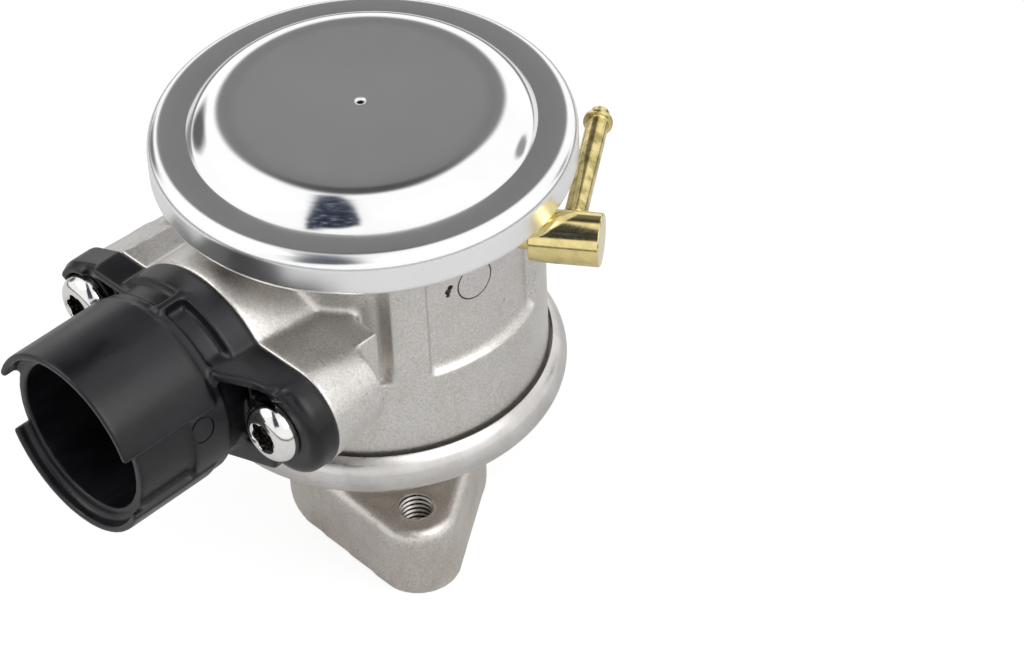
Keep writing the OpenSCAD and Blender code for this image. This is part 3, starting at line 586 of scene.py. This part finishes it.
class ValveSizes(bpy.types.PropertyGroup):
    """Sizes of the fine shapes"""
    body_voxel: size("Casting detail", "Cell of the casting's skin", 0.38)
    body_fillet: size("Casting fillet", "Radius of the casting's inner corners", 0.4)
    base_voxel: size("Base detail", "Cell of the base's skin", 0.34)
    nylon_voxel: size("Moulding detail", "Cell of the hose connector's skin", 0.30)
    nylon_fillet: size("Moulding fillet", "Radius of the moulding's inner corners", 0.3)
    sheet: size("Sheet thickness", "Thickness of the cover and the clamp ring", 1.2)
    dome_foot_r: size("Dome foot", "Radius of the dome's foot", 28.45)
    dome_top_r: size("Dome top", "Radius of the flat top", 21.4)
    dome_h: size("Dome height", "Height of the dome over the annulus", 4.1)
    shoulder_r: size("Shoulder", "Radius of the rim's shoulder", 2.4)
    curl_r: size("Curl", "Radius of the curl under the rim", 1.7)
    vent_r: size("Vent", "Radius of the vent hole", 0.6)
    ring_tube_r: size("Clamp ring section", "Radius of the ring's rolled section", 4.4)
    thread_pitch: size("Thread pitch", "Pitch of the lugs' M6 threads", 1.0)
    thread_r: size("Thread radius", "Outer radius of the lugs' threads", 3.0)
    bolt_spacing: size("Bolt spacing", "Distance between the lugs' holes", 44.0)
    head_r: size("Screw head", "Radius of the screw heads", 5.25)
    head_h: size("Screw head height", "Height of the screw heads", 3.3)
    screw_spacing: size("Screw spacing", "Distance between the connector's screws", 44.8)
    wire_r: size("Spring wire", "Radius of the spring's wire", 0.65)
    spring_r: size("Spring radius", "Mean radius of the return spring", 9.0)
    spring_turns: size("Spring turns", "Number of turns in the return spring", 3.25, "")
    elbow_r: size("Elbow radius", "Radius of the vacuum elbow", 4.4)
    tail_r: size("Tail radius", "Radius of the hose tail", 1.95)
    barb_r: size("Barb radius", "Radius of the hose tail's barb", 2.5)


class ValveColours(bpy.types.PropertyGroup):
    """Colours of the finishes"""
    casting: colour("Casting", "Die-cast aluminium of the body", "#d9d6d2")
    casting_stain: colour("Casting cloud", "Darker clouds on the body", "#c3beb9")
    base: colour("Base", "Die-cast aluminium of the base", "#dad5cf")
    base_stain: colour("Base stain", "Warm stains on the base", "#b5aca2")
    cover: colour("Cover", "Pressed steel of the cover", "#f4f4f4")
    ring: colour("Clamp ring", "Rolled steel of the ring", "#d6d3d1")
    nylon: colour("Nylon", "Black of the hose connector", "#0e0e12")
    rubber: colour("Rubber", "Black of the seals and the diaphragm", "#1f1d1b")
    screw: colour("Screws", "Bright plate of the screws", "#f2f1f0")
    # Painted shade: the next two colours darken the faces of recesses, thread roots, pits and the core mark's
    # groove, where shade falls.
    dark_shade: colour("Dark shade", "Oily brown black in the recesses, thread roots and pits", "#1a1611")
    dust: colour("Dust", "Grey dust in the core mark on the body", "#79746f")
    gold: colour("Passivate", "Pale gold of the vacuum fitting", "#e9d798")
    gold_film: colour("Passivate film", "Olive film over the gold", "#92844c")
    zinc: colour("Zinc plate", "Plated nuts and washer", "#b8b5a6")
    steel: colour("Steel", "Turned and pressed steel inside", "#b4b6b9")
    bronze: colour("Bronze", "Sintered bushes and sleeves", "#a8834c")


def tint(name):
    """A colour in this scene."""
    return tuple(getattr(bpy.context.scene.valve_colours, name))


def node_low(node):
    """Lowest corner of a CAD node, in mm."""
    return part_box(node)[0] / MM


def node_high(node):
    """Highest corner of a CAD node, in mm."""
    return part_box(node)[1] / MM


# Places and sizes of the pieces: lengths in mm, the angle in radians, the two matrices in metres
RIM_R = node_high("diaphragm_cover").x
COVER_TOP = node_high("diaphragm_cover").z
CURL_BOTTOM = node_low("diaphragm_cover").z
RING_R = node_high("lower_clamp_ring").x
JOINT_H = 29.9
LUG_H = 14.0
LUG_ANGLE = math.radians(-29.8)
INLET_Z = 54.2
SCREW_Z = INLET_Z + 1.2
SEAT_Y = 41.5
PANEL_R = 27.6
BAND_R = 16.1
EJECTOR_Y = -51.0
RECESS_R = 2.5
ON_ELBOW = Matrix.Rotation(math.radians(35), 4, "Z") @ Matrix.Translation((29.1 * MM, -9.9 * MM, 68.0 * MM))
TAIL_AT = 6.2
ON_TAIL = ON_ELBOW @ Matrix.Translation((TAIL_AT * MM, 0, 0)) @ Matrix.Rotation(-math.pi / 2, 4, "X")

# Most triangles in a skin
SKIN_TRIANGLES = 185000
BASE_TRIANGLES = 150000


class VALVE_OT_cast_body(bpy.types.Operator):
    """Makes the die-cast body's skin, with a core mark and a pit on its panel"""
    bl_idname = "valve.cast_body"
    bl_label = "Cast body"

    # The narrow gap inside the clamp ring's lip: radius and height of its corners
    GAP = [(28.95, 31.2), (29.75, 31.2), (29.75, 34.3), (28.95, 34.3)]
    # The core pin's mark: azimuth and height of its middle, its radius, half its line's width, the line's depth
    MARK_AZIMUTH, MARK_Z, MARK_R, LINE_R, LINE_DEPTH = -5.0, 64.0, 3.4, 0.13, 0.35
    # The bubbles of the pit: azimuth, height and radius
    PITS = ((-15.0, 65.0, 0.50), (-15.9, 64.3, 0.55), (-16.0, 63.5, 0.36))

    def execute(self, context):
        s = context.scene.valve_sizes
        body = merged_copy("valve_body", "cast_body")
        moulded_skin(body, s.body_voxel, s.body_fillet, SKIN_TRIANGLES, polish=2)
        cut_away(body, turned("tool", self.GAP), 60)
        cut_away(body, self.core_mark(), 60)
        for pit in self.PITS:
            cut_away(body, self.bead(*pit), 60)
        cast = die_cast_aluminium(
            "shot_blasted_die_cast_aluminium", tint("casting"), tint("casting_stain"), 0.35)
        dress(body, cast, "housing", "cast_body", "valve_body")
        # Painted shade: the core mark's groove gets a grey darker than the panel, standing for the shade in it.
        paint_shade_on(body, painted_shade_metal("dusty_groove", tint("dust")), lambda at: (
            at.x > 25 and -6.2 < at.y < 2.5 and 59 < at.z < 68.5
            and PANEL_R - 0.7 < at.xy.length < PANEL_R - 0.05))
        # Painted shade: the pit's faces get a near-black colour standing for the shade inside it.
        paint_shade_on(body, painted_shade_metal("oiled_pit", tint("dark_shade")), lambda at: (
            at.x > 25 and -9 < at.y < -6.2 and 62 < at.z < 66
            and PANEL_R - 0.7 < at.xy.length < PANEL_R - 0.12))
        return {"FINISHED"}

    def on_panel(self, azimuth, height, depth=0.0):
        """A point on the body's recessed panel, in metres."""
        a = math.radians(azimuth)
        r = PANEL_R + depth
        return Vector((r * math.cos(a), r * math.sin(a), height)) * MM

    def bead(self, azimuth, height, radius):
        """A round tool for a bubble in the panel."""
        place = Matrix.Translation(self.on_panel(azimuth, height))
        outline = [(0.0, -radius)] + arc(0, 0, radius, -75, 75, 10) + [(0.0, radius)]
        return turned("tool", outline, place, 24, 180)

    def core_mark(self):
        """A tool for the hairline groove that a core pin leaves on the panel."""
        bm = bmesh.new()
        steps, sides = 96, 8
        rows = []
        for i in range(steps):
            a = 2 * math.pi * i / steps
            row = []
            for k in range(sides):
                b = 2 * math.pi * k / sides
                r = self.MARK_R + self.LINE_R * math.cos(b)
                azimuth = self.MARK_AZIMUTH + math.degrees(r * math.cos(a) / PANEL_R)
                row.append(bm.verts.new(self.on_panel(
                    azimuth, self.MARK_Z + r * math.sin(a), self.LINE_DEPTH * math.sin(b))))
            rows.append(row)
        bridge(bm, rows + rows[:1])
        return as_object("tool", bm, 180)


class VALVE_OT_cast_base(bpy.types.Operator):
    """Makes the cast base's skin and the threads in its lugs"""
    bl_idname = "valve.cast_base"
    bl_label = "Cast base"

    # The ridge of a thread: turns, lowest height, and half its width as a share of the pitch
    TURNS, BOTTOM, RIDGE = 13.0, 0.5, 0.27

    def execute(self, context):
        s = context.scene.valve_sizes
        base = merged_copy("base_flange", "cast_base")
        moulded_skin(base, s.base_voxel, s.body_fillet, BASE_TRIANGLES)
        half = s.bolt_spacing / 2
        lug_x, lug_y = half * math.cos(LUG_ANGLE), half * math.sin(LUG_ANGLE)
        for side in (-1, 1):
            place = Matrix.Translation((side * lug_x * MM, side * lug_y * MM, 0))
            cut_away(base, rod(s.thread_r, -1.0, LUG_H + 1.0, place, 64), 40)
        cast = die_cast_aluminium("stained_die_cast_aluminium", tint("base"), tint("base_stain"), 0.6)
        dress(base, cast, "housing", "cast_base", "base_flange")
        # Painted shade: the hole's wall between the thread ridges gets a near-black colour standing for the
        # shade in the roots.
        paint_shade_on(base, painted_shade_metal("oiled_thread_root", tint("dark_shade")), lambda at: (
            math.hypot(abs(at.x) - lug_x, abs(at.y) + lug_y) < s.thread_r + 0.02
            and 0.3 < at.z < LUG_H - 0.3))
        dress(self.threads(s, cast), cast, "housing", "cast_base")
        return {"FINISHED"}

    def threads(self, s, material):
        """Two internal threads, each a sharp ridge wound along the wall of its hole."""
        values = {"Pitch": s.thread_pitch, "Turns": self.TURNS, "Radius": s.thread_r, "Bottom": self.BOTTOM,
                  "Spacing": s.bolt_spacing, "Direction": LUG_ANGLE, "Material": material}
        tree, given = node_tree("lug_threads", values)
        height = maths(tree, "MULTIPLY", given["Pitch"], given["Turns"])
        helix = coil(tree, 40, given["Turns"], given["Radius"], height)
        upright = out(tree, "GeometryNodeSetCurveNormal", {"Curve": helix}, mode="Z_UP")
        ridge = swept(tree, upright, 4, maths(tree, "MULTIPLY", given["Pitch"], self.RIDGE))
        both = out(tree, "GeometryNodeInstanceOnPoints", {
            "Points": pair(tree, given["Spacing"], z=given["Bottom"]), "Instance": ridge})
        placed = out(tree, "GeometryNodeTransform", {
            "Geometry": both, "Rotation": vector(tree, z=given["Direction"]), "Scale": (MM, MM, MM)})
        closing(tree, placed, given["Material"])
        return grown(empty_mesh("lug_threads"), tree, values, 30)


class VALVE_OT_clamp_ring(bpy.types.Operator):
    """Makes the rolled clamp ring between body and base"""
    bl_idname = "valve.clamp_ring"
    bl_label = "Clamp ring"

    # Where the sheet ends: radius of the upper lip, and angle of the lower lip round the section
    LIP_R, LOW_ANGLE = 29.65, -112

    def execute(self, context):
        s = context.scene.valve_sizes
        middle = RING_R - s.ring_tube_r
        inner = s.ring_tube_r - s.sheet
        upper = math.degrees(math.acos((self.LIP_R - middle) / s.ring_tube_r))
        upper_in = math.degrees(math.acos((self.LIP_R - middle) / inner))
        outline = arc(middle, JOINT_H, s.ring_tube_r, self.LOW_ANGLE, upper, 40)
        outline += arc(middle, JOINT_H, inner, upper_in, self.LOW_ANGLE, 28)
        ring = turned("clamp_ring", outline, segments=256, sharp_angle=40)
        bevel = ring.modifiers.new("sheared_edges", "BEVEL")
        bevel.width = 0.2 * MM
        bevel.segments = 3
        bevel.angle_limit = math.radians(40)
        applied(ring, 40)
        dress(ring, rolled_steel("rolled_zinc_plated_steel", tint("ring")), "housing", "clamp_ring",
              "lower_clamp_ring")
        return {"FINISHED"}


class VALVE_OT_cover(bpy.types.Operator):
    """Makes the pressed cover with its dome, rolled rim and vent hole"""
    bl_idname = "valve.cover"
    bl_label = "Cover"

    def execute(self, context):
        s = context.scene.valve_sizes
        run = s.dome_foot_r - s.dome_top_r
        dome_arc = (run * run + s.dome_h * s.dome_h) / (2 * s.dome_h)
        foot_a = 90 - math.degrees(math.asin(run / dome_arc))
        annulus = COVER_TOP - s.dome_h
        shoulder = (RIM_R - s.shoulder_r, annulus - s.shoulder_r)
        curl = (RIM_R - s.curl_r, CURL_BOTTOM + s.curl_r)
        lip = RIM_R - 2 * s.curl_r
        vent = s.vent_r
        outline = [(vent, COVER_TOP - s.sheet), (vent, COVER_TOP - 0.35), (vent + 0.12, COVER_TOP - 0.12)]
        outline += [(r, COVER_TOP) for r in (vent + 0.42, vent + 0.48, vent + 0.6, 10.0, 18.0)]
        outline += arc(s.dome_top_r, COVER_TOP - dome_arc, dome_arc, 90, foot_a, 40)
        outline += [(s.dome_foot_r + 0.25, annulus), (30.5, annulus)]
        outline += arc(*shoulder, s.shoulder_r, 90, 0, 18)
        outline += arc(*curl, s.curl_r, 0, -90, 16)
        outline += [(lip, CURL_BOTTOM), (lip, CURL_BOTTOM + s.sheet)]
        outline += arc(*curl, s.curl_r - s.sheet, -90, 0, 8)
        outline += arc(*shoulder, s.shoulder_r - s.sheet, 0, 90, 10)
        outline += [(s.dome_foot_r, annulus - s.sheet)]
        outline += arc(s.dome_top_r, COVER_TOP - dome_arc, dome_arc - s.sheet, foot_a, 90, 24)
        cover = turned("pressed_cover", outline, segments=256, sharp_angle=25)
        steel = pressed_steel("pressed_stainless_sheet", tint("cover"), s.dome_top_r, s.dome_foot_r,
                              RIM_R - s.shoulder_r, RIM_R)
        dress(cover, steel, "housing", "cover_steel", "diaphragm_cover")
        return {"FINISHED"}


class VALVE_OT_hose_connector(bpy.types.Operator):
    """Makes the moulded hose connector's skin"""
    bl_idname = "valve.hose_connector"
    bl_label = "Hose connector"

    def execute(self, context):
        s = context.scene.valve_sizes
        connector = merged_copy("hose_connector", "moulded_connector")
        cut_away(connector, self.right_edge(s))
        cut_away(connector, self.left_edge(s))
        moulded_skin(connector, s.nylon_voxel, s.nylon_fillet, SKIN_TRIANGLES, polish=3)
        cut_away(connector, self.ejector_ring(), 60)
        dress(connector, glass_filled_nylon("glass_filled_nylon", tint("nylon")), "housing", "black_nylon",
              "hose_connector")
        return {"FINISHED"}

    def on_ear(self, s, side):
        """The axis of an ear's screw, out of the ear, with X to the right and Y up."""
        turn = Matrix(((1, 0, 0), (0, 0, -1), (0, 1, 0))).to_4x4()
        return Matrix.Translation(Vector((side * s.screw_spacing / 2, -SEAT_Y, SCREW_Z)) * MM) @ turn

    def right_edge(self, s):
        """A tool that rounds the right ear's outer edge and takes its rim down beside the screw head."""
        outline = [(5.9, 0.0)] + arc(7.0, -2.0, 2.0, 90, 0, 10)
        outline += [(9.0, -4.0), (10.5, -4.0), (10.5, 4.0), (5.9, 4.0)]
        return sector(outline, self.on_ear(s, 1), -100, 78)

    def left_edge(self, s):
        """A tool that opens the left ear's rim on its outer side."""
        outline = [(5.7, 0.0), (6.6, 0.0), (7.3, -0.7), (9.5, -0.7), (9.5, 4.0), (5.7, 4.0)]
        return sector(outline, self.on_ear(s, -1), 160, 275)

    def ejector_ring(self):
        """A tool for the ring that an ejector leaves on the band."""
        on_axis = Matrix.Translation(Vector((0.0, EJECTOR_Y, INLET_Z)) * MM)
        place = (on_axis @ Matrix.Rotation(math.radians(-11), 4, "Y")
                 @ Matrix.Translation((BAND_R * MM, 0, 0)) @ Matrix.Rotation(math.pi / 2, 4, "Y"))
        return turned("tool", [(1.95, -0.35), (2.28, -0.35), (2.28, 1.0), (1.95, 1.0)], place, segments=64)


class VALVE_OT_connector_screws(bpy.types.Operator):
    """Makes the two button-head screws of the hose connector"""
    bl_idname = "valve.connector_screws"
    bl_label = "Connector screws"

    def execute(self, context):
        s = context.scene.valve_sizes
        steel = bright_plate("bright_plated_steel", tint("screw"))
        values = {"Spacing": s.screw_spacing, "Seat": -(SEAT_Y + 0.05), "Height": SCREW_Z, "Turn": 0.35,
                  "Material": steel}
        screws = grown(self.head(s), self.tree(values), values, 30)
        dress(screws, steel, "housing", "screw_steel", "connector_screws")
        # Painted shade: the walls of the six-lobed recess get a near-black colour standing for the shade inside
        # it.
        paint_shade_on(screws, painted_shade_metal("oiled_recess", tint("dark_shade")), lambda at: (
            math.hypot(abs(at.x) - s.screw_spacing / 2, at.z - SCREW_Z) < RECESS_R * 1.13
            and 0.2 < at.y + SEAT_Y + s.head_h < s.head_h - 0.4))
        return {"FINISHED"}

    def head(self, s):
        """One screw along +Z, its seat at the origin: shank, rounded head and six-lobed recess."""
        r, h = s.head_r, s.head_h
        crown = h - 0.8
        lobe, recess = 0.11, RECESS_R
        outline = [(0.0, -16.0), (2.2, -16.0), (2.95, -15.2), (2.95, 0.0)]
        outline += [(r - 0.25, 0.0)] + arc(r - 0.25, 0.25, 0.25, -90, 0, 4)
        outline += arc(r - crown, h - crown, crown, 4, 88, 20)
        outline += [(recess + 0.42, h), (recess + 0.30, h - 0.03, 0.6 * lobe), (recess, h - 0.22, lobe)]
        outline += [(recess, h - 2.0, lobe), (1.9, h - 2.05, 0.5 * lobe), (0.0, h - 2.5)]
        return turned("button_head_screws", outline, segments=144, sharp_angle=30)

    def tree(self, values):
        """One screw on each ear, looking along -Y, the second one turned a little further."""
        tree, given = node_tree("screws_on_ears", values)
        spacing, seat, height = [maths(tree, "MULTIPLY", given[x], MM) for x in ("Spacing", "Seat", "Height")]
        turn = maths(tree, "MULTIPLY", out(tree, "GeometryNodeInputIndex"), given["Turn"])
        leaning = out(tree, "GeometryNodeInstanceOnPoints", {
            "Points": pair(tree, spacing, seat, height), "Instance": given["Geometry"],
            "Rotation": vector(tree, math.pi / 2)})
        spun = out(tree, "GeometryNodeRotateInstances", {
            "Instances": leaning, "Rotation": vector(tree, z=turn), "Local Space": True})
        closing(tree, spun, given["Material"])
        return tree


class VALVE_OT_vacuum_fitting(bpy.types.Operator):
    """Makes the turned elbow and its barbed hose tail"""
    bl_idname = "valve.vacuum_fitting"
    bl_label = "Vacuum fitting"

    def execute(self, context):
        s = context.scene.valve_sizes
        bright = yellow_passivate("bright_yellow_passivate", tint("gold"), tint("gold_film"), 0.25, 0.09)
        dull = yellow_passivate("clouded_yellow_passivate", tint("gold"), tint("gold_film"), 0.80, 0.16)
        dress(self.elbow(s), bright, "housing", "yellow_passivate", "vacuum_elbow")
        dress(self.tail(s), dull, "housing", "yellow_passivate", "hose_tail")
        return {"FINISHED"}

    def elbow(self, s):
        """A bar with broken edges, a neck pressed into the body and a hole across it for the tail."""
        r, end, bore_r, chamfer = s.elbow_r, 11.4, 1.4, 0.15
        bar = turned("vacuum_elbow_bar", rounded([
            (bore_r, -8.0, 0), (2.5, -8.0, 0.2), (2.5, -0.3, 0.2), (3.6, 0.0, 0.1), (r - chamfer, 0.0, 0.05),
            (r, chamfer, 0.05), (r, end - chamfer, 0.05), (r - chamfer, end, 0.05), (0.0, end, 0),
            (0.0, TAIL_AT + 1, 0), (bore_r, TAIL_AT + 1, 0)]),
            ON_ELBOW @ Matrix.Rotation(math.pi / 2, 4, "Y"), segments=128, sharp_angle=40)
        return cut_away(bar, rod(s.tail_r, 0, 8, ON_TAIL, 96), 40)

    def tail(self, s):
        """The turned tube: a collar at its foot, a plain length, the barb, and a bore open at the tip."""
        bore_r, r, collar_r, barb_r = 1.1, s.tail_r - 0.05, s.tail_r - 0.05 + 0.45, s.barb_r
        return turned("hose_tail_tube", rounded([
            (bore_r, 1.8, 0), (r, 1.8, 0), (r, 4.2, 0), (collar_r, 4.4, 0.15), (collar_r, 5.0, 0.2),
            (r, 5.3, 0.1), (r, 29.3, 0.15), (barb_r, 29.5, 0.12), (barb_r, 30.2, 0.15), (1.75, 31.0, 0.1),
            (1.6, 32.3, 0.2), (1.2, 32.6, 0.1), (bore_r, 32.6, 0)]), ON_TAIL, segments=96, sharp_angle=40)


class VALVE_OT_return_spring(bpy.types.Operator):
    """Winds the return spring at one length; the real spring shortens as the valve opens"""
    bl_idname = "valve.return_spring"
    bl_label = "Return spring"

    def execute(self, context):
        s = context.scene.valve_sizes
        low = node_low("return_spring").z + s.wire_r
        high = node_high("return_spring").z - s.wire_r
        steel = machined_steel("drawn_spring_steel", tint("steel"))
        values = {"Turns": s.spring_turns, "Radius": s.spring_r, "Wire": s.wire_r, "Bottom": low,
                  "Height": high - low, "Material": steel}
        tree, given = node_tree("wound_spring", values)
        helix = coil(tree, 64, given["Turns"], given["Radius"], given["Height"])
        raised = out(tree, "GeometryNodeTransform", {
            "Geometry": swept(tree, helix, 16, given["Wire"]),
            "Translation": vector(tree, z=given["Bottom"])})
        small = out(tree, "GeometryNodeTransform", {"Geometry": raised, "Scale": (MM, MM, MM)})
        closing(tree, small, given["Material"])
        spring = grown(empty_mesh("return_spring_wire"), tree, values)
        dress(spring, steel, "housing", "steel", "return_spring")
        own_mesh(spring)
        return {"FINISHED"}


class VALVE_OT_diaphragm(bpy.types.Operator):
    """Makes the rubber diaphragm: a clamped fold on the housing, and a centre that moves with the valve"""
    bl_idname = "valve.diaphragm"
    bl_label = "Diaphragm"

    def execute(self, context):
        rubber = moulded_rubber("moulded_fluorocarbon_rubber", tint("rubber"))
        low, high = node_low("diaphragm"), node_high("diaphragm")
        hole_r, split, web, fold_r = 2.55, 20.8, 1.5, 2.6
        fold_c, fold_z = 24.2, low.z + 0.2
        top = low.z + web
        centre = turned("diaphragm_centre", rounded([
            (hole_r, low.z, 0), (split, low.z, 0.1), (split, top, 0.1), (hole_r, top, 0)]), segments=128)
        floor = high.z - 1.65
        outline = [(split + 0.02, low.z), (fold_c - fold_r, low.z)]
        outline += arc(fold_c, fold_z, fold_r - web / 2, 180, 0, 20)
        outline += [(fold_c + fold_r, floor), (high.x, floor), (high.x, high.z)]
        outline += [(fold_c + fold_r + 0.6, high.z)]
        outline += arc(fold_c, fold_z, fold_r, 25, 155, 20)
        outline += [(fold_c - fold_r - 0.8, top), (split + 0.02, top)]
        fold = turned("diaphragm_fold", outline, segments=192, sharp_angle=60)
        dress(centre, rubber, "valve", "seal_rubber")
        dress(fold, rubber, "housing", "seal_rubber", "diaphragm")
        for node in ("stem_seal", "joint_seal", "connector_o_ring", "disc_seal"):
            dress_node(node, rubber)
        return {"FINISHED"}


class VALVE_OT_inner_parts(bpy.types.Operator):
    """Gives the plates, stem, nuts, seats and bushes inside their finishes"""
    bl_idname = "valve.inner_parts"
    bl_label = "Inner parts"

    def execute(self, context):
        finishes = {
            machined_steel("turned_steel", tint("steel")): (
                "upper_diaphragm_plate", "lower_diaphragm_plate", "stem", "spring_seat", "valve_seat",
                "valve_disc"),
            zinc_plate("zinc_plated_steel", tint("zinc")): ("stem_nut", "disc_nut", "disc_washer"),
            sintered_bronze("sintered_bronze", tint("bronze")): ("stem_guide", "ear_sleeves"),
        }
        for material, nodes in finishes.items():
            for node in nodes:
                dress_node(node, material)
        return {"FINISHED"}


class VALVE_OT_stage(bpy.types.Operator):
    """Sets the camera, the floor, the lamps and the white room that the metal reflects"""
    bl_idname = "valve.stage"
    bl_label = "Stage"

    CAMERA_AZIMUTH = math.radians(-40.84)
    # Azimuth from the camera, elevation, distance, width and power of each lamp
    LAMPS = {"right_lamp": (48, 50, 0.75, 0.45, 1.7), "left_lamp": (-95, 48, 0.75, 0.45, 1.3)}
    # Dark panels of the white room: azimuth from the camera, elevation, inner and outer radius, level
    ROOM = [
        (180, 38, 14, 24, 0.19),
        (180, 57, 5, 15, 0.06),
        (-138, 10, 7, 16, 0.12),
        (113, 12, 5, 10, 0.30),
        (-26, 43, 9, 15, 0.02),
    ]

    def execute(self, context):
        self.camera()
        self.floor()
        self.lamps()
        self.room()
        context.scene.view_settings.view_transform = "Standard"
        return {"FINISHED"}

    def towards(self, azimuth, elevation):
        """A direction from an azimuth from the camera and an elevation, in degrees."""
        a = self.CAMERA_AZIMUTH + math.radians(azimuth)
        e = math.radians(elevation)
        return Vector((math.cos(e) * math.cos(a), math.cos(e) * math.sin(a), math.sin(e)))

    def camera(self):
        """A long lens at the photograph's viewing angle."""
        data = bpy.data.cameras.new("camera")
        data.lens = 126.56
        data.sensor_width = 36.0
        data.clip_start = 0.01
        camera = bpy.data.objects.new("camera", data)
        right = Vector((0.71044, 0.70306, -0.03139))
        up = Vector((-0.45079, 0.48888, 0.74685))
        back = Vector((0.54042, -0.51644, 0.66425))
        turn = Matrix((right, up, back)).transposed().to_4x4()
        camera.matrix_world = Matrix.Translation((0.345826, -0.298899, 0.441006)) @ turn
        bpy.context.scene.collection.objects.link(camera)
        bpy.context.scene.camera = camera

    def floor(self):
        """A pale round table, white to the camera but for the shadow."""
        bm = bmesh.new()
        bmesh.ops.create_circle(bm, cap_ends=True, segments=96, radius=0.32)
        floor = as_object("floor", bm, 30)
        material, tree = blank_material("white_table")
        plain = out(tree, "ShaderNodeBsdfDiffuse", {"Color": grey(0.80)})
        shaded = out(tree, "ShaderNodeBsdfDiffuse", {"Color": grey(0.30)})
        glow = out(tree, "ShaderNodeEmission", {"Color": grey(1.0), "Strength": 0.80})
        seen = out(tree, "ShaderNodeAddShader", {0: shaded, 1: glow})
        path = add(tree, "ShaderNodeLightPath").outputs
        mixed = out(tree, "ShaderNodeMixShader", {0: path["Is Camera Ray"], 1: plain, 2: seen})
        add(tree, "ShaderNodeOutputMaterial", {"Surface": mixed})
        floor.data.materials.append(material)

    def lamps(self):
        """Two large soft lamps, one over each shoulder."""
        for name, (azimuth, elevation, distance, width, power) in self.LAMPS.items():
            data = bpy.data.lights.new(name, "AREA")
            data.shape = "SQUARE"
            data.size = width
            data.energy = power
            lamp = bpy.data.objects.new(name, data)
            towards = self.towards(azimuth, elevation)
            lamp.matrix_world = (Matrix.Translation(towards * distance + Vector((0, 0, 0.05)))
                                 @ towards.to_track_quat("Z", "Y").to_matrix().to_4x4())
            bpy.context.scene.collection.objects.link(lamp)

    def room(self):
        """White to the camera; in reflections a white room with dark panels, a boom and a low dark edge."""
        world = bpy.data.worlds.new("white_room")
        bpy.context.scene.world = world
        world.use_nodes = True
        tree = world.node_tree
        tree.nodes.clear()
        outward = add(tree, "ShaderNodeTexCoord").outputs["Generated"]
        level = grey(1.0)
        wobble = out(tree, "ShaderNodeTexNoise", {"Vector": outward, "Scale": 9.0, "Detail": 4.0})
        for azimuth, elevation, inner, outer, amount in self.ROOM:
            near = add(tree, "ShaderNodeVectorMath", {0: outward, 1: self.towards(azimuth, elevation)},
                       operation="DOT_PRODUCT").outputs["Value"]
            ragged = maths(tree, "MULTIPLY_ADD", wobble, 0.012, near)
            edge = [math.cos(math.radians(angle)) + 0.006 for angle in (outer, inner)]
            level = blended(tree, spread(tree, ragged, *edge), level, grey(amount))
        level = self.boom(tree, outward, wobble, level)
        height = add(tree, "ShaderNodeSeparateXYZ", {0: outward}).outputs["Z"]
        level = blended(tree, band(tree, height, -0.27, -0.22, -0.10, -0.05), level, grey(0.22))
        path = add(tree, "ShaderNodeLightPath").outputs
        soft = out(tree, "ShaderNodeBackground", {"Color": grey(1.0), "Strength": 0.62})
        mirrored = out(tree, "ShaderNodeBackground", {"Color": level, "Strength": 1.1})
        backdrop = out(tree, "ShaderNodeBackground", {"Color": grey(1.0), "Strength": 1.0})
        glossy = out(tree, "ShaderNodeMixShader", {0: path["Is Glossy Ray"], 1: soft, 2: mirrored})
        shown = out(tree, "ShaderNodeMixShader", {0: path["Is Camera Ray"], 1: glossy, 2: backdrop})
        add(tree, "ShaderNodeOutputWorld", {"Surface": shown})

    def boom(self, tree, outward, wobble, level):
        """A slanted dark boom over the table, a little to the left, in a crackled slate blue."""
        at = add(tree, "ShaderNodeSeparateXYZ", {0: out(
            tree, "ShaderNodeVectorRotate", {"Vector": outward, "Angle": -self.CAMERA_AZIMUTH},
            rotation_type="Z_AXIS")}).outputs
        side = maths(tree, "MULTIPLY_ADD", wobble, 0.05, at["Y"])
        slant = maths(tree, "MULTIPLY_ADD", at["X"], 0.40, side)
        across = maths(tree, "SUBTRACT", spread(tree, slant, -0.30, -0.24), spread(tree, side, -0.08, -0.03))
        along = band(tree, at["X"], -0.42, -0.28, 0.72, 0.82)
        above = spread(tree, at["Z"], 0.3, 0.4)
        share = maths(tree, "MULTIPLY", maths(tree, "MULTIPLY", across, along), above)
        cracks = out(tree, "ShaderNodeTexNoise", {"Vector": outward, "Scale": 22.0, "Detail": 6.0})
        tone = blended(tree, spread(tree, cracks, 0.52, 0.66), linear("#2c3140"), linear("#8d93a3"))
        return blended(tree, share, level, tone)


OPERATORS = [
    VALVE_OT_stage, VALVE_OT_cast_body, VALVE_OT_cast_base, VALVE_OT_clamp_ring, VALVE_OT_cover,
    VALVE_OT_hose_connector, VALVE_OT_connector_screws, VALVE_OT_vacuum_fitting, VALVE_OT_return_spring,
    VALVE_OT_diaphragm, VALVE_OT_inner_parts,
]


class VALVE_PT_panel(bpy.types.Panel):
    """Lists the pieces of the valve"""
    bl_idname = "VALVE_PT_panel"
    bl_label = "Air valve"
    bl_space_type = "VIEW_3D"
    bl_region_type = "UI"
    bl_category = "Air valve"

    def draw(self, context):
        for operator in OPERATORS:
            self.layout.operator(operator.bl_idname)
        for group in (context.scene.valve_sizes, context.scene.valve_colours):
            for name in group.__annotations__:
                self.layout.prop(group, name)


CLASSES = [ValveSizes, ValveColours, *OPERATORS, VALVE_PT_panel]


def register():
    for item in CLASSES:
        bpy.utils.register_class(item)
    bpy.types.Scene.valve_sizes = bpy.props.PointerProperty(type=ValveSizes)
    bpy.types.Scene.valve_colours = bpy.props.PointerProperty(type=ValveColours)


def unregister():
    del bpy.types.Scene.valve_colours
    del bpy.types.Scene.valve_sizes
    for item in reversed(CLASSES):
        bpy.utils.unregister_class(item)


def main():
    register()
    for operator in OPERATORS:
        group, name = operator.bl_idname.split(".")
        getattr(getattr(bpy.ops, group), name)()


if __name__ == "__main__":
    main()
